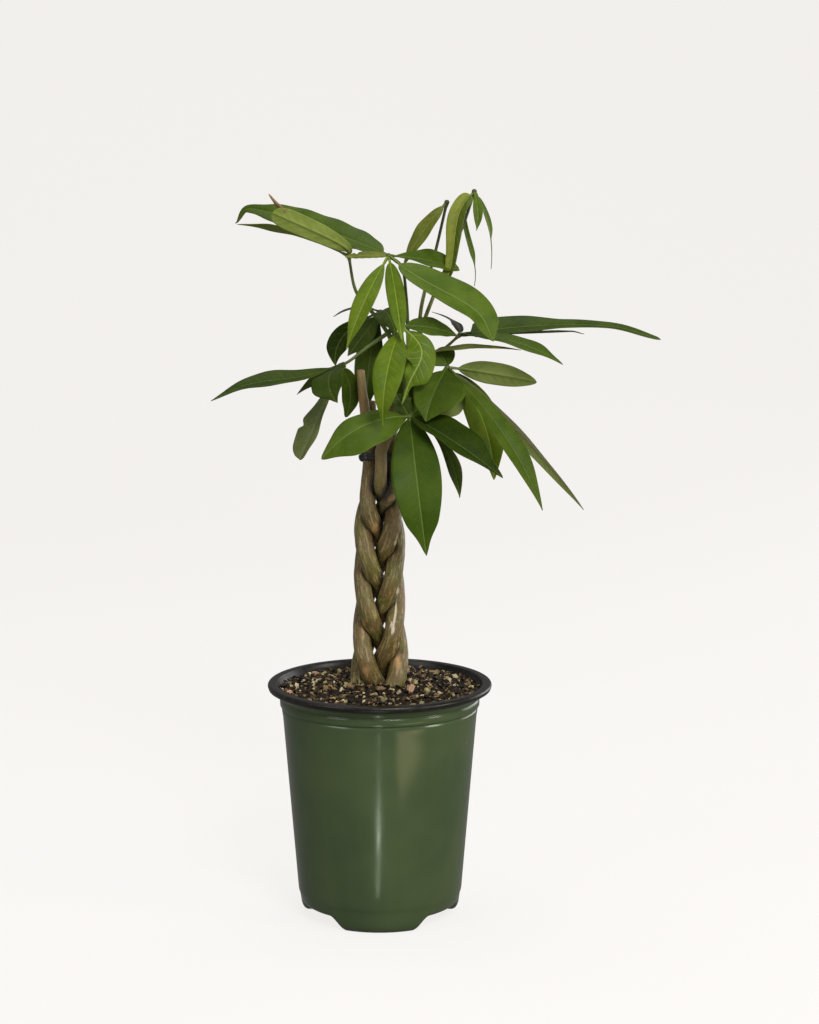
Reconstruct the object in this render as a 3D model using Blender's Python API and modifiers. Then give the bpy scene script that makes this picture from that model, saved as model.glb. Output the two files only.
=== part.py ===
"""Potted money tree: five braided stems in a green nursery pot, with palmate leaves on long petioles.

Run with: blender --background --python part.py
Metres, +Z up. The origin is the centre of the pot's underside, where it rests. -Y is the front.
The tables below are in millimetres, and MM turns them into metres.
"""

import math

import bmesh
import bpy
from mathutils import Vector

MM = 0.001
GAP = 0.3  # air left between neighbouring pieces
POCKET_GAP = 0.55  # air round a stem in the soil, where both are faceted

# Pot
RIM_RADIUS = 82.5
RIM_INNER_RADIUS = 75.6
RIM_TOP = 175.0
WALL_TOP_RADIUS = 71.4
WALL_TOP = 150.0
WALL_FOOT_RADIUS = 60.7
WALL_FOOT = 20.0
FOOT_RADIUS = 53.0
WALL = 1.5
FLOOR_UNDERSIDE = 8.6
FLOOR_TOP = 10.4
PAD_RADIUS = 14.0
POT_STEPS = 44
NOTCH_COUNT = 3
NOTCH_WIDTH = 50.0
NOTCH_HEIGHT = 8.3
NOTCH_LENGTH = 30.0
NOTCH_CIRCLE = 56.0
DRAIN_COUNT = 4
DRAIN_RADIUS = 5.0
DRAIN_CIRCLE = 34.0

# Soil
SOIL_EDGE = 169.0
SOIL_MOUND = 175.0
SOIL_STEPS = 28

# Braid
STRANDS = 5
BRAID_PERIOD = 184.0
BRAID_START_PHASE = 0.094  # phase of the first strand at the height of the origin
BRAID_HALF_WIDTH = 12.8
BRAID_HALF_DEPTH = 12.0
FLARE = 2.6  # how far the braid widens on its way down into the soil
FLARE_TOP = 235.0
FLARE_FOOT = 175.0
STRAND_FOOT = 140.0
TWIST_SLOWS = 324.6
TWIST_ENDS = 340.0
GATHER_STARTS = 320.0
STRAND_RADIUS = 5.2
STRAND_TOP_RADIUS = 4.2
STRAND_STEP = 8.0

# Tie round the top of the braid
TIE_LOW = 343.0
TIE_HIGH = 349.0
TIE_THICKNESS = 1.0

# Leaves
LEAF_THICKNESS = 0.8
LEAF_BASE_WIDTH = 1.8
LEAF_TIP_WIDTH = 1.0
LEAF_ROWS = 8
LEAF_COLUMNS = 2
LEAF_CUP = 0.14  # rise of the edges over the midrib, as a share of the half width
KNOB_RADIUS = 2.1
PETIOLE_RADIUS = 1.1
LEAFLET_START = KNOB_RADIUS + 2 * GAP

POT_GREEN = (0.030, 0.085, 0.036)
SOIL_BROWN = (0.045, 0.028, 0.017)
BARK_OLIVE = (0.130, 0.095, 0.040)
TIE_BLACK = (0.010, 0.010, 0.010)
PETIOLE_GREEN = (0.090, 0.150, 0.035)
LEAF_GREEN = (0.050, 0.120, 0.015)

# Where each stem goes above the tie, from its place in the bundle: route points and end radius.
# The bundle is read from the left stem, anticlockwise seen from above: left, front, right, two at the back.
STEM_TOPS = [
    ("stem_left", [(-9.0, -3.2, 366), (-12.0, -4.6, 390), (-13.4, -5.0, 406)], 2.7),
    ("stem_front", [(7.0, -15.0, 362), (17.5, -15.0, 376), (20.5, -14.6, 388)], 3.2),
    ("stem_right", [(9.5, 0.2, 372), (12.0, 3.0, 402), (13.0, 4.0, 430)], 2.6),
    ("stem_back_right", [(12.0, 9.6, 368), (21.0, 12.0, 388), (23.0, 12.5, 402)], 3.0),
    ("stem_back_left", [(-5.2, 6.4, 362), (-6.0, 5.0, 382)], 3.2),
]
# Centres of the five stems where the tie holds them, in the same order.
TIE_PLACES = [(-7.6, -2.2), (1.4, -13.6), (8.2, -4.6), (5.2, 6.0), (-4.4, 6.6)]

# Each leaf: the petiole's route from its stem to the hub, then its leaflets.
# A leaflet is (tip, bow, width, face, peak): bow moves the middle of its midrib off the straight
# line from hub to tip, face is the way that its upper side looks, and peak is how far along it is
# widest, as a share of its length.
LEAVES = {
    "a": (
        [(21.4, 7.6, 399), (20.8, 4, 432), (19.5, -3, 460), (16.5, -9, 479), (11.5, -12, 490)],
        [
            ((-106, 56, 507), (0, 5, 12), 28, (0, -0.5, 1), 0.4),
            ((-24, -50, 425), (-4, -13, 8), 18, (-0.3, -1, 0.3), 0.5),
            ((15, -46, 431.5), (0.5, -3, 4), 12, (0.1, -1, 0.3), 0.45),
            ((79, -40, 430), (7, -10, 8), 26, (0.3, -1, 1), 0.6),
            ((52, 3, 480), (0, 0, 3), 12, (0, -0.5, 1), 0.5),
        ],
    ),
    "b": (
        [(9.4, 7.2, 427), (0, 8.5, 441), (-12, 8, 455), (-18, 6, 466), (-21.8, 5, 488)],
        [
            ((-79, -8, 531), (2, 3, -4), 28, (0.4, 1, 0.4), 0.6),
            ((-102, -24, 511), (0, -12, 3), 22, (0, 0.25, 1), 0.5),
        ],
    ),
    "c": (
        [(27.6, 15.0, 400), (29.5, 14, 441), (33, 12, 462), (41, 11, 492), (48.8, 10, 526)],
        [
            ((18, 9, 491), (2, -3, 3), 13, (-0.8, -0.6, 0.5), 0.5),
        ],
    ),
    "d": (
        [(26.6, 8.8, 398), (29.5, 7, 430), (39, 7, 458), (51, 6, 486), (62, 5, 514), (68.4, 5, 534)],
        [
            ((51, -6, 476), (-4, -4, 6), 13, (-0.7, -1, 0.2), 0.45),
            ((71, -6, 507), (1, -4, 1), 7, (0.1, -1, 0.2), 0.5),
            ((82, 8, 479), (3, 2, 6), 7, (1, -0.4, 0.2), 0.4),
            ((69, 24, 468), (-4, 11, 1), 7, (0.8, -0.5, 0.2), 0.5),
        ],
    ),
    "e": (
        [(27.2, 12.2, 392), (34, 11, 404), (46, 8, 419), (52, 6, 425), (58.4, 5, 431)],
        [
            ((204, -4, 428), (0, 4, 7.5), 25, (0, -0.5, 1), 0.3),
            ((146, 34, 430), (0, 11, -1), 20, (0, 0.1, 1), 0.5),
            ((132, -40, 414), (0, -10, 6), 20, (0.1, -0.3, 1), 0.5),
            ((37, 26, 445), (8, 4, 3), 11, (0.3, -0.3, 1), 0.6),
        ],
    ),
    "f": (
        [(25.6, -13.2, 387), (30, -11, 400), (36.6, -6, 419)],
        [
            ((102, -30, 423), (0, -3, 3), 19, (0, -0.1, 1), 0.5),
        ],
    ),
    "g": (
        [(19.4, -19.6, 386), (19, -22, 410), (17.0, -25, 441)],
        [
            ((3, -60, 372), (0, -18, 2), 26, (-0.2, -1, 0.4), 0.45),
            ((16, -40, 385), (10, -2, 3), 24, (0.5, -1, 0.4), 0.5),
            ((57, -14, 430), (0, 0, 3), 18, (0, -0.4, 1), 0.5),
        ],
    ),
    "h": (
        [(24.2, -16.9, 382), (36, -15, 396), (49.2, -10, 409)],
        [
            ((117, -50, 308), (7, -10, 4), 20, (0.6, -0.9, 0.5), 0.5),
            ((147, -12, 304), (4, 5, 4.5), 18, (0.7, -0.2, 0.7), 0.58),
            ((84, 26, 322), (12, 12, 0), 24, (0.2, -1, 0.3), 0.5),
            ((33, -42, 373), (2, -5, 0), 36, (-0.3, -1, 0.6), 0.45),
            ((112, -8, 397.5), (1, 1, 2.5), 23, (0, 1, 0.6), 0.4),
        ],
    ),
    "i": (
        [(20.6, -18.9, 379), (21.6, -23, 378), (22, -28, 375.4)],
        [
            ((-41, -48, 347), (0, -6, 7), 28, (-0.4, -0.8, 0.8), 0.5),
            ((33, -58, 281), (0, -16, 2), 37, (0, -1, 0.3), 0.5),
            ((88, -52, 334), (3, -6, 6), 26, (0.3, -0.8, 0.6), 0.5),
            ((58, -18, 316), (4, 4, 2), 17, (0.5, -1, 0.2), 0.55),
        ],
    ),
    "j": (
        [(10.0, 2.4, 428), (0, -1, 428), (-12, -5, 421), (-24.0, -8, 412)],
        [
            ((-121, -6, 386), (0, 2, 0.5), 19, (-0.1, -0.45, 1), 0.5),
            ((-59, 22, 387), (0, 4, 3), 14, (-0.3, -0.2, 1), 0.5),
            ((-30, -38, 385), (-7, -9, 1), 26, (-0.6, -0.8, 0.3), 0.5),
            ((-56, -8, 341), (-7, 3, -3), 21, (-0.8, -0.7, 0.3), 0.68),
            ((-23, 6, 371), (2, 6, 0), 14, (0.2, -1, 0), 0.5),
        ],
    ),
    "k": (
        [(12.0, 8.6, 430), (7, 14, 440), (0.8, 20, 446)],
        [
            ((-32, 18, 407), (-10, 7, 2), 17, (-0.3, -1, 0.2), 0.6),
            ((-23, 10, 415), (0, -2, 0), 18, (-0.4, -1, 0.5), 0.5),
            ((12, -10, 433), (0, 0, 6), 20, (0, -0.8, 0.8), 0.5),
            ((-34, 38, 441), (0, 7, 4), 6, (0, -0.2, 1), 0.5),
            ((-5, 18, 381), (-1, 6, 0), 13, (-0.3, -1, 0.2), 0.5),
        ],
    ),
}


def millimetres(point):
    return Vector(point) * MM


def make_material(name, colour, roughness):
    material = bpy.data.materials.new(name)
    material.use_nodes = True
    shader = material.node_tree.nodes["Principled BSDF"]
    shader.inputs["Base Color"].default_value = (*colour, 1.0)
    shader.inputs["Roughness"].default_value = roughness
    return material


def add_object(name, data, collection, material=None):
    obj = bpy.data.objects.new(name, data)
    collection.objects.link(obj)
    if material:
        data.materials.append(material)
    return obj


def make_cutter(obj):
    """Keeps a tool body out of the model."""
    obj.hide_render = True
    obj.display_type = "WIRE"


def cut(obj, cutter):
    boolean = obj.modifiers.new("cut " + cutter.name, "BOOLEAN")
    boolean.operation = "DIFFERENCE"
    boolean.object = cutter


def turned(name, profile, steps, collection, material):
    """Turns a profile of (radius, height) round the pot's axis."""
    mesh = bpy.data.meshes.new(name)
    points = [millimetres((radius, 0, height)) for radius, height in profile]
    mesh.from_pydata(points, [(i, i + 1) for i in range(len(points) - 1)], [])
    obj = add_object(name, mesh, collection, material)
    screw = obj.modifiers.new("turn", "SCREW")
    screw.steps = steps
    screw.render_steps = steps
    screw.use_merge_vertices = True
    screw.merge_threshold = 0.00001
    screw.use_smooth_shade = True
    return obj


def box(name, size, centre, turn, collection):
    mesh = bpy.data.meshes.new(name)
    shape = bmesh.new()
    bmesh.ops.create_cube(shape, size=1.0)
    bmesh.ops.scale(shape, vec=millimetres(size), verts=shape.verts)
    shape.to_mesh(mesh)
    shape.free()
    obj = add_object(name, mesh, collection)
    obj.location = millimetres(centre)
    obj.rotation_euler.z = turn
    make_cutter(obj)
    return obj


def drum(name, radius, length, centre, collection):
    mesh = bpy.data.meshes.new(name)
    shape = bmesh.new()
    bmesh.ops.create_cone(
        shape, cap_ends=True, segments=20, radius1=radius * MM, radius2=radius * MM, depth=length * MM
    )
    shape.to_mesh(mesh)
    shape.free()
    obj = add_object(name, mesh, collection)
    obj.location = millimetres(centre)
    make_cutter(obj)
    return obj


def inner_radius(height):
    """Inside of the pot's straight wall at this height."""
    share = (height - WALL_FOOT) / (WALL_TOP - WALL_FOOT)
    return WALL_FOOT_RADIUS + share * (WALL_TOP_RADIUS - WALL_FOOT_RADIUS) - WALL


def make_pot(parts, cutters, material):
    inside = [
        (0, FLOOR_TOP),
        (FOOT_RADIUS + 2.5, FLOOR_TOP),
        (inner_radius(WALL_FOOT) - 0.6, FLOOR_TOP + 5),
        (inner_radius(WALL_FOOT + 4), WALL_FOOT + 4),
        (inner_radius(WALL_TOP), WALL_TOP),
        (WALL_TOP_RADIUS - 0.6, 163.0),
        (WALL_TOP_RADIUS + 1.4, 168.6),
        (RIM_INNER_RADIUS - 0.5, 171.6),
    ]
    rim = [
        (RIM_INNER_RADIUS, RIM_TOP - 0.8),
        (RIM_INNER_RADIUS + 0.8, RIM_TOP),
        (RIM_RADIUS - 1.6, RIM_TOP),
        (RIM_RADIUS - 0.4, RIM_TOP - 0.7),
        (RIM_RADIUS, RIM_TOP - 2.0),
        (RIM_RADIUS - 0.3, RIM_TOP - 3.8),
        (RIM_RADIUS - 1.4, RIM_TOP - 4.6),
    ]
    outside = [
        (77.0, 169.8),
        (74.6, 168.2),
        (73.6, 165.0),
        (72.9, 164.4),
        (72.9, 159.0),
        (72.2, 158.4),
        (WALL_TOP_RADIUS, WALL_TOP),
        (WALL_FOOT_RADIUS, WALL_FOOT),
        (WALL_FOOT_RADIUS - 0.4, WALL_FOOT - 3),
        (WALL_FOOT_RADIUS - 1.5, WALL_FOOT - 5),
        (WALL_FOOT_RADIUS - 2.2, 6.0),
        (WALL_FOOT_RADIUS - 3.9, 1.9),
        (FOOT_RADIUS + 1.4, 0),
    ]
    underside = [
        (FOOT_RADIUS - 2.6, 0),
        (FOOT_RADIUS - 3.6, FLOOR_UNDERSIDE),
        (PAD_RADIUS + 1.5, FLOOR_UNDERSIDE),
        (PAD_RADIUS, 0),
        (0, 0),
    ]
    pot = turned("pot", inside + rim + outside + underside, POT_STEPS, parts, material)
    for i in range(NOTCH_COUNT):
        turn = math.radians(90) + i * math.tau / NOTCH_COUNT
        centre = (NOTCH_CIRCLE * math.cos(turn), NOTCH_CIRCLE * math.sin(turn), 0)
        size = (NOTCH_LENGTH, NOTCH_WIDTH, 2 * NOTCH_HEIGHT)
        cut(pot, box(f"notch_{i + 1}", size, centre, turn, cutters))
    for i in range(DRAIN_COUNT):
        turn = i * math.tau / DRAIN_COUNT
        centre = (DRAIN_CIRCLE * math.cos(turn), DRAIN_CIRCLE * math.sin(turn), FLOOR_TOP)
        cut(pot, drum(f"drain_{i + 1}", DRAIN_RADIUS, 10, centre, cutters))
    return pot


def make_soil(parts, material):
    """Potting mix up to just under the rim, mounded towards the stems, cut later where they enter."""
    low = FLOOR_TOP + GAP
    profile = [(0, SOIL_MOUND)]
    for radius in (20, 34, 48, 60):
        profile.append((radius, SOIL_EDGE + (SOIL_MOUND - SOIL_EDGE) * math.cos(radius / 68 * math.pi / 2)))
    profile += [
        (WALL_TOP_RADIUS + 0.9 - GAP, SOIL_EDGE),
        (WALL_TOP_RADIUS - 0.9 - GAP, 163.0),
        (inner_radius(WALL_TOP) - GAP, WALL_TOP),
        (inner_radius(WALL_FOOT + 4) - GAP, WALL_FOOT + 4),
        (inner_radius(WALL_FOOT) - 0.6 - GAP - 0.2, low + 5),
        (FOOT_RADIUS + 2, low),
        (0, low),
    ]
    return turned("soil", profile, SOIL_STEPS, parts, material)


def smoothstep(low, high, value):
    share = min(max((value - low) / (high - low), 0.0), 1.0)
    return share * share * (3 - 2 * share)


def braid_phase(height):
    """Turns made by this height. The twist runs evenly, then slows to nothing at the tie."""
    if height < TWIST_SLOWS:
        return BRAID_START_PHASE + height / BRAID_PERIOD
    over = min(height, TWIST_ENDS) - TWIST_SLOWS
    slowed = over - over * over / (2 * (TWIST_ENDS - TWIST_SLOWS))
    return BRAID_START_PHASE + (TWIST_SLOWS + slowed) / BRAID_PERIOD


def bundle_place(strand):
    """Which of the five places at the tie a strand reaches, from how far round the braid it has come."""
    phase = (braid_phase(TWIST_ENDS) + strand / STRANDS) % 1.0
    x = math.cos(math.tau * phase)
    y = math.sin(2 * math.tau * phase)
    if x < -0.95:
        place = 0
    elif x < 0:
        place = 1 if y < 0 else 4
    else:
        place = 2 if y < 0 else 3
    return place


def braid_point(strand, height):
    """Centre of a strand: a figure of eight in plan, which closes into the ring of five at the tie."""
    turns = math.tau * (braid_phase(height) + strand / STRANDS)
    flare = FLARE * smoothstep(FLARE_TOP, FLARE_FOOT, height)
    x = (BRAID_HALF_WIDTH + flare) * math.cos(turns)
    y = BRAID_HALF_DEPTH * math.sin(2 * turns)
    held_x, held_y = TIE_PLACES[bundle_place(strand)]
    share = smoothstep(GATHER_STARTS, TIE_LOW, height)
    return Vector((x + share * (held_x - x), y + share * (held_y - y), height))


def rounded(points, steps):
    """A smooth route through the given points, by the Catmull-Rom rule."""
    ends = [2 * points[0] - points[1]] + points + [2 * points[-1] - points[-2]]
    route = []
    for i in range(1, len(ends) - 2):
        before, start, end, after = ends[i - 1 : i + 3]
        for j in range(steps):
            t = j / steps
            route.append(
                0.5
                * (
                    2 * start
                    + (end - before) * t
                    + (2 * before - 5 * start + 4 * end - after) * t * t
                    + (3 * start - before - 3 * end + after) * t**3
                )
            )
    route.append(points[-1])
    return route


def tube(name, points, radii, collection, material=None):
    """A closed tube along points, with a radius for each."""
    curve = bpy.data.curves.new(name, "CURVE")
    curve.dimensions = "3D"
    curve.bevel_depth = MM
    curve.bevel_resolution = 2
    curve.use_fill_caps = True
    spline = curve.splines.new("POLY")
    spline.points.add(len(points) - 1)
    for place, point, radius in zip(spline.points, points, radii):
        place.co = (*millimetres(point), 1.0)
        place.radius = radius
    spline.use_smooth = True
    return add_object(name, curve, collection, material)


def stem_route(strand):
    """Points and radii of one stem, from its foot in the soil to its top."""
    _, top_points, end_radius = STEM_TOPS[bundle_place(strand)]
    count = round((TIE_HIGH + 2 - STRAND_FOOT) / STRAND_STEP)
    heights = [STRAND_FOOT + i * (TIE_HIGH + 2 - STRAND_FOOT) / count for i in range(count + 1)]
    points = [braid_point(strand, height) for height in heights]
    radii = []
    for height in heights:
        share = smoothstep(200, TIE_LOW, height)
        radii.append(STRAND_RADIUS + share * (STRAND_TOP_RADIUS - STRAND_RADIUS))
    upper = rounded([points[-1]] + [Vector(point) for point in top_points], 4)[1:]
    for i, point in enumerate(upper):
        share = (i + 1) / len(upper)
        points.append(point)
        radii.append(STRAND_TOP_RADIUS + share * (end_radius - STRAND_TOP_RADIUS))
    tip = points[-1] + (points[-1] - points[-2]).normalized() * 0.8
    points.append(tip)
    radii.append(end_radius * 0.7)
    return points, radii


def make_stems(parts, cutters, soil, material):
    for strand in range(STRANDS):
        name = STEM_TOPS[bundle_place(strand)][0]
        points, radii = stem_route(strand)
        tube(name, points, radii, parts, material)
        buried = [point for point in points if point.z < SOIL_MOUND + 2 * STRAND_STEP]
        buried[0] += (points[0] - points[1]).normalized() * GAP
        wide = [STRAND_RADIUS + POCKET_GAP] * len(buried)
        guide = tube(name + "_pocket_guide", buried, wide, cutters)
        pocket = weld_curve(guide, name + "_pocket", cutters)
        make_cutter(pocket)
        cut(soil, pocket)


def weld_curve(curve_object, name, collection):
    """Turns a curve into a closed mesh, which a Boolean can use."""
    bpy.context.view_layer.update()
    graph = bpy.context.evaluated_depsgraph_get()
    mesh = bpy.data.meshes.new_from_object(curve_object.evaluated_get(graph))
    shape = bmesh.new()
    shape.from_mesh(mesh)
    bmesh.ops.remove_doubles(shape, verts=shape.verts, dist=0.00001)
    bmesh.ops.recalc_face_normals(shape, faces=shape.faces)
    shape.to_mesh(mesh)
    shape.free()
    obj = add_object(name, mesh, collection)
    obj.matrix_world = curve_object.matrix_world
    bpy.data.objects.remove(curve_object)
    return obj


def ring_outline(centres, radius, steps=8):
    """The outline of a band stretched round circles, given in anticlockwise order."""
    outline = []
    for i, centre in enumerate(centres):
        before = centres[i - 1]
        after = centres[(i + 1) % len(centres)]
        start = math.atan2(centre[1] - before[1], centre[0] - before[0]) - math.pi / 2
        end = math.atan2(after[1] - centre[1], after[0] - centre[0]) - math.pi / 2
        while end < start:
            end += math.tau
        for j in range(steps + 1):
            angle = start + (end - start) * j / steps
            outline.append((centre[0] + radius * math.cos(angle), centre[1] + radius * math.sin(angle)))
    return outline


def make_tie(parts, material):
    """A band round four of the stems, behind the front one, which has already left the bundle."""
    places = {bundle_place(strand): strand for strand in range(STRANDS)}
    centres = [braid_point(places[place], TIE_HIGH) for place in (0, 2, 3, 4)]
    curve = bpy.data.curves.new("tie_band", "CURVE")
    curve.dimensions = "2D"
    curve.fill_mode = "BOTH"
    curve.extrude = (TIE_HIGH - TIE_LOW) / 2 * MM
    inner = STRAND_TOP_RADIUS + GAP + 0.15
    for radius in (inner + TIE_THICKNESS, inner):
        outline = ring_outline(centres, radius)
        spline = curve.splines.new("POLY")
        spline.points.add(len(outline) - 1)
        for place, point in zip(spline.points, outline):
            place.co = (point[0] * MM, point[1] * MM, 0.0, 1.0)
        spline.use_cyclic_u = True
    band = add_object("tie_band", curve, parts, material)
    band.location.z = (TIE_LOW + TIE_HIGH) / 2 * MM
    return band


def make_petiole(leaf, route, parts, material):
    """A leaf stalk that swells at its foot and ends in the small knob that carries the leaflets."""
    points = rounded([Vector(point) for point in route], 3)
    end = points[-1]
    along = (end - points[-2]).normalized()
    points = points[:-1] + [end - along * 2.2, end - along * 1.1, end + along * 0.9, end + along * 1.9]
    radii = [PETIOLE_RADIUS] * (len(points) - 4) + [PETIOLE_RADIUS, 1.9, 2.0, 1.2]
    radii[0] = PETIOLE_RADIUS * 1.35
    radii[1] = PETIOLE_RADIUS * 1.15
    tube(f"petiole_{leaf}", points, radii, parts, material)


def leaf_width(share, peak):
    """Width of a leaflet from base to tip as a share of its greatest width, which it has at peak."""
    return math.sin(math.pi * share ** (math.log(0.5) / math.log(peak))) ** 0.85


def make_leaflet(name, hub, tip, bow, width, face, peak, parts, material):
    """A bowed blade from just off the hub to the tip, as an open sheet that Solidify thickens."""
    hub = Vector(hub)
    tip = Vector(tip)
    bow = Vector(bow)
    base = hub + (tip - hub + 4 * bow).normalized() * LEAFLET_START
    chord = tip - base
    mesh = bpy.data.meshes.new(name)
    shape = bmesh.new()
    bmesh.ops.create_grid(shape, x_segments=LEAF_ROWS, y_segments=LEAF_COLUMNS, size=0.5)
    for vertex in shape.verts:
        along = vertex.co.x + 0.5
        across = vertex.co.y * 2
        centre = base + chord * along + bow * 4 * along * (1 - along)
        tangent = (chord + bow * 4 * (1 - 2 * along)).normalized()
        normal = Vector(face)
        normal = (normal - tangent * normal.dot(tangent)).normalized()
        side = tangent.cross(normal)
        narrow = LEAF_BASE_WIDTH + (LEAF_TIP_WIDTH - LEAF_BASE_WIDTH) * along
        half = max(narrow, width * leaf_width(along, peak)) / 2
        vertex.co = (centre + side * (half * across) + normal * (LEAF_CUP * half * abs(across))) * MM
    shape.to_mesh(mesh)
    shape.free()
    leaflet = add_object(name, mesh, parts, material)
    solidify = leaflet.modifiers.new("thickness", "SOLIDIFY")
    solidify.thickness = LEAF_THICKNESS * MM
    solidify.offset = 0.0
    mesh.shade_smooth()
    return leaflet


def make_leaves(parts, petiole_material, leaf_material):
    for leaf, (route, leaflets) in LEAVES.items():
        make_petiole(leaf, route, parts, petiole_material)
        for i, leaflet in enumerate(leaflets):
            make_leaflet(f"leaflet_{leaf}{i + 1}", route[-1], *leaflet, parts, leaf_material)


def main():
    for obj in list(bpy.data.objects):
        bpy.data.objects.remove(obj)
    parts = bpy.data.collections.new("money_tree")
    cutters = bpy.data.collections.new("cutters")
    bpy.context.scene.collection.children.link(parts)
    bpy.context.scene.collection.children.link(cutters)
    pot_green = make_material("pot_green", POT_GREEN, 0.45)
    soil_brown = make_material("soil_brown", SOIL_BROWN, 0.95)
    bark = make_material("bark", BARK_OLIVE, 0.6)
    black = make_material("tie_black", TIE_BLACK, 0.5)
    stalk = make_material("petiole_green", PETIOLE_GREEN, 0.45)
    leaf = make_material("leaf_green", LEAF_GREEN, 0.4)
    make_pot(parts, cutters, pot_green)
    soil = make_soil(parts, soil_brown)
    make_stems(parts, cutters, soil, bark)
    make_tie(parts, black)
    make_leaves(parts, stalk, leaf)


main()
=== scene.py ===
"""Looks of the potted money tree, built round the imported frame.

Lengths in the tables are millimetres, and MM turns them into metres. +Z is up and -Y is the front.
"""

import math
import random

import bmesh
import bpy
import numpy as np
from mathutils import Euler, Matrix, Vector, noise

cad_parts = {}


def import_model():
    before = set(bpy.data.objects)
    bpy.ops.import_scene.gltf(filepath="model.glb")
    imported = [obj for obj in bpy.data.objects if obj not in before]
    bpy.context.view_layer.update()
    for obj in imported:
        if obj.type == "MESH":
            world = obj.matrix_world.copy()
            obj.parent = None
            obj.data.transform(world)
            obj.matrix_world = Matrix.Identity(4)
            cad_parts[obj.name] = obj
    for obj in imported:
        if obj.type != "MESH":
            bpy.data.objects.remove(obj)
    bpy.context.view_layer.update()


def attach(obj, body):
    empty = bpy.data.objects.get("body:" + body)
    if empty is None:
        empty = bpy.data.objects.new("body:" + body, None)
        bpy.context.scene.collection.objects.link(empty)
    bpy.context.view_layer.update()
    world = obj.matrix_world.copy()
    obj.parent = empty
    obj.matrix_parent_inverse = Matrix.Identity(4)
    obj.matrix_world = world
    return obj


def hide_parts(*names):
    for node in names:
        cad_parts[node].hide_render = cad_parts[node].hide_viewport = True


MM = 0.001
TAU = math.tau
SEED = 7

# Pot
RIM_RADIUS = 82.5
RIM_INNER_RADIUS = 75.6
RIM_TOP = 175.0
WALL_TOP_RADIUS = 71.4
WALL_TOP = 150.0
WALL_FOOT_RADIUS = 60.7
WALL_FOOT = 20.0
FOOT_RADIUS = 53.0
WALL = 1.5
FLOOR_UNDERSIDE = 8.6
FLOOR_TOP = 10.4
PAD_RADIUS = 14.0
POT_STEPS = 240
NOTCH_COUNT = 3
NOTCH_HALF_ANGLE = math.radians(20.0)
NOTCH_SLOPE_ANGLE = math.radians(14.0)
NOTCH_HEIGHT = 9.0
NOTCH_REACH = 15.0  # height under which the foot ring is drawn up over a notch

# Soil
SOIL_EDGE = 170.0
SOIL_MOUND = 176.0
SOIL_RADIUS = 73.4
SOIL_RINGS = 60
SOIL_SPOKES = 180
SOIL_LUMPS = (1.1, 0.1)  # height, and how many to a millimetre
SOIL_CRUMBS = (0.8, 0.32)
SOIL_SINK = 0.9  # how far the mix lies under the level that its chips lie on
SOIL_BOTTOM = 10.9
CHIP_CLEARANCE = 6.2  # from a stem's axis
CHIP_JITTER = 0.28  # how far a corner of a chip is moved, in half widths
CHIP_TILT = 0.45

# Braid
STRANDS = 5
BRAID_PERIOD = 193.0
BRAID_START_PHASE = 0.174
BRAID_HALF_WIDTH = 12.3
BRAID_HALF_DEPTH = 12.0
FLARE = 2.6
FLARE_TOP = 235.0
FLARE_FOOT = 175.0
STRAND_FOOT = 158.0
TWIST_SLOWS = 324.6
TWIST_ENDS = 340.0
GATHER_STARTS = 286.0
THINNING_STARTS = 285.0
STRAND_RADIUS = 6.5
STRAND_FOOT_RADIUS = 7.0
STRAND_TOP_RADIUS = 4.4
STRAND_STEP = 1.6
STRAND_SIDES = 30
STEM_END = [(0.5, 0.86), (0.7, 0.6)]  # (reach, share of the radius) past the end of its route
BARK_LUMPS = 0.075  # share of the radius
BARK_GRAIN = 0.03
STRAND_PATTERN_STEP = 400.0  # shifts the pattern of the bark from stem to stem
CREVICE_SHADE_REACH = 5.0  # how far from another stem's skin the bark is still painted dark, as painted shade
TIE_LOW = 340.5
TIE_HIGH = 346.5
TIE_HALF_THICKNESS = 0.75
TIE_HALF_HEIGHT = 1.75
TIE_WAVE = 0.35
TIE_SIDES = 14

# Leaves
LEAF_THICKNESS = 0.5
LEAF_ROWS = 60
LEAF_COLUMNS = [0.0, 0.05, 0.12, 0.24, 0.38, 0.52, 0.66, 0.79, 0.91, 1.0]
LEAF_BASE_WIDTH = 1.8
LEAF_TIP_WIDTH = 0.5
VEIN_SPACING = 6.5
VEIN_RELIEF = 0.3
VEIN_SLANT = 0.95  # how far a side vein falls back towards the hub, for each mm outwards
MIDRIB_GROOVE = 0.22  # in the upper side
MIDRIB_RIDGE = 0.55  # on the underside, at the base
MIDRIB_HALF_WIDTH = 0.7
LEAF_STALK_SWELLING = 0.55
PETIOLE_RADIUS = 1.55
PETIOLE_TOP_RADIUS = 1.05
PETIOLE_FOOT = 0.55  # share by which its foot is wider
PETIOLE_NECK = 0.85  # mm by which it widens under the knob
KNOB = [(0.7, 1.85), (1.3, 1.55), (1.7, 1.05), (1.9, 0.5)]  # (reach, radius) past the hub
LEAFLET_START = 1.2

# Where each stem goes above the tie: its name, route points and end radius.
STEM_TOPS = [
    ("stem_left", [(-9.0, -3.2, 366), (-12.0, -4.6, 390), (-13.4, -5.0, 406)], 2.9),
    ("stem_front", [(7.0, -15.0, 362), (17.5, -15.0, 376), (20.5, -14.6, 388)], 3.4),
    ("stem_right", [(9.5, 0.2, 372), (12.0, 3.0, 402), (13.0, 4.0, 430)], 2.8),
    ("stem_back_right", [(12.0, 9.6, 368), (21.0, 12.0, 388), (23.0, 12.5, 402)], 3.1),
    ("stem_back_left", [(-5.2, 6.4, 362), (-6.0, 5.0, 382)], 3.4),
]
TIE_PLACES = [(-7.6, -2.2), (1.4, -13.6), (8.2, -4.6), (5.2, 6.0), (-4.4, 6.6)]
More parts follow.
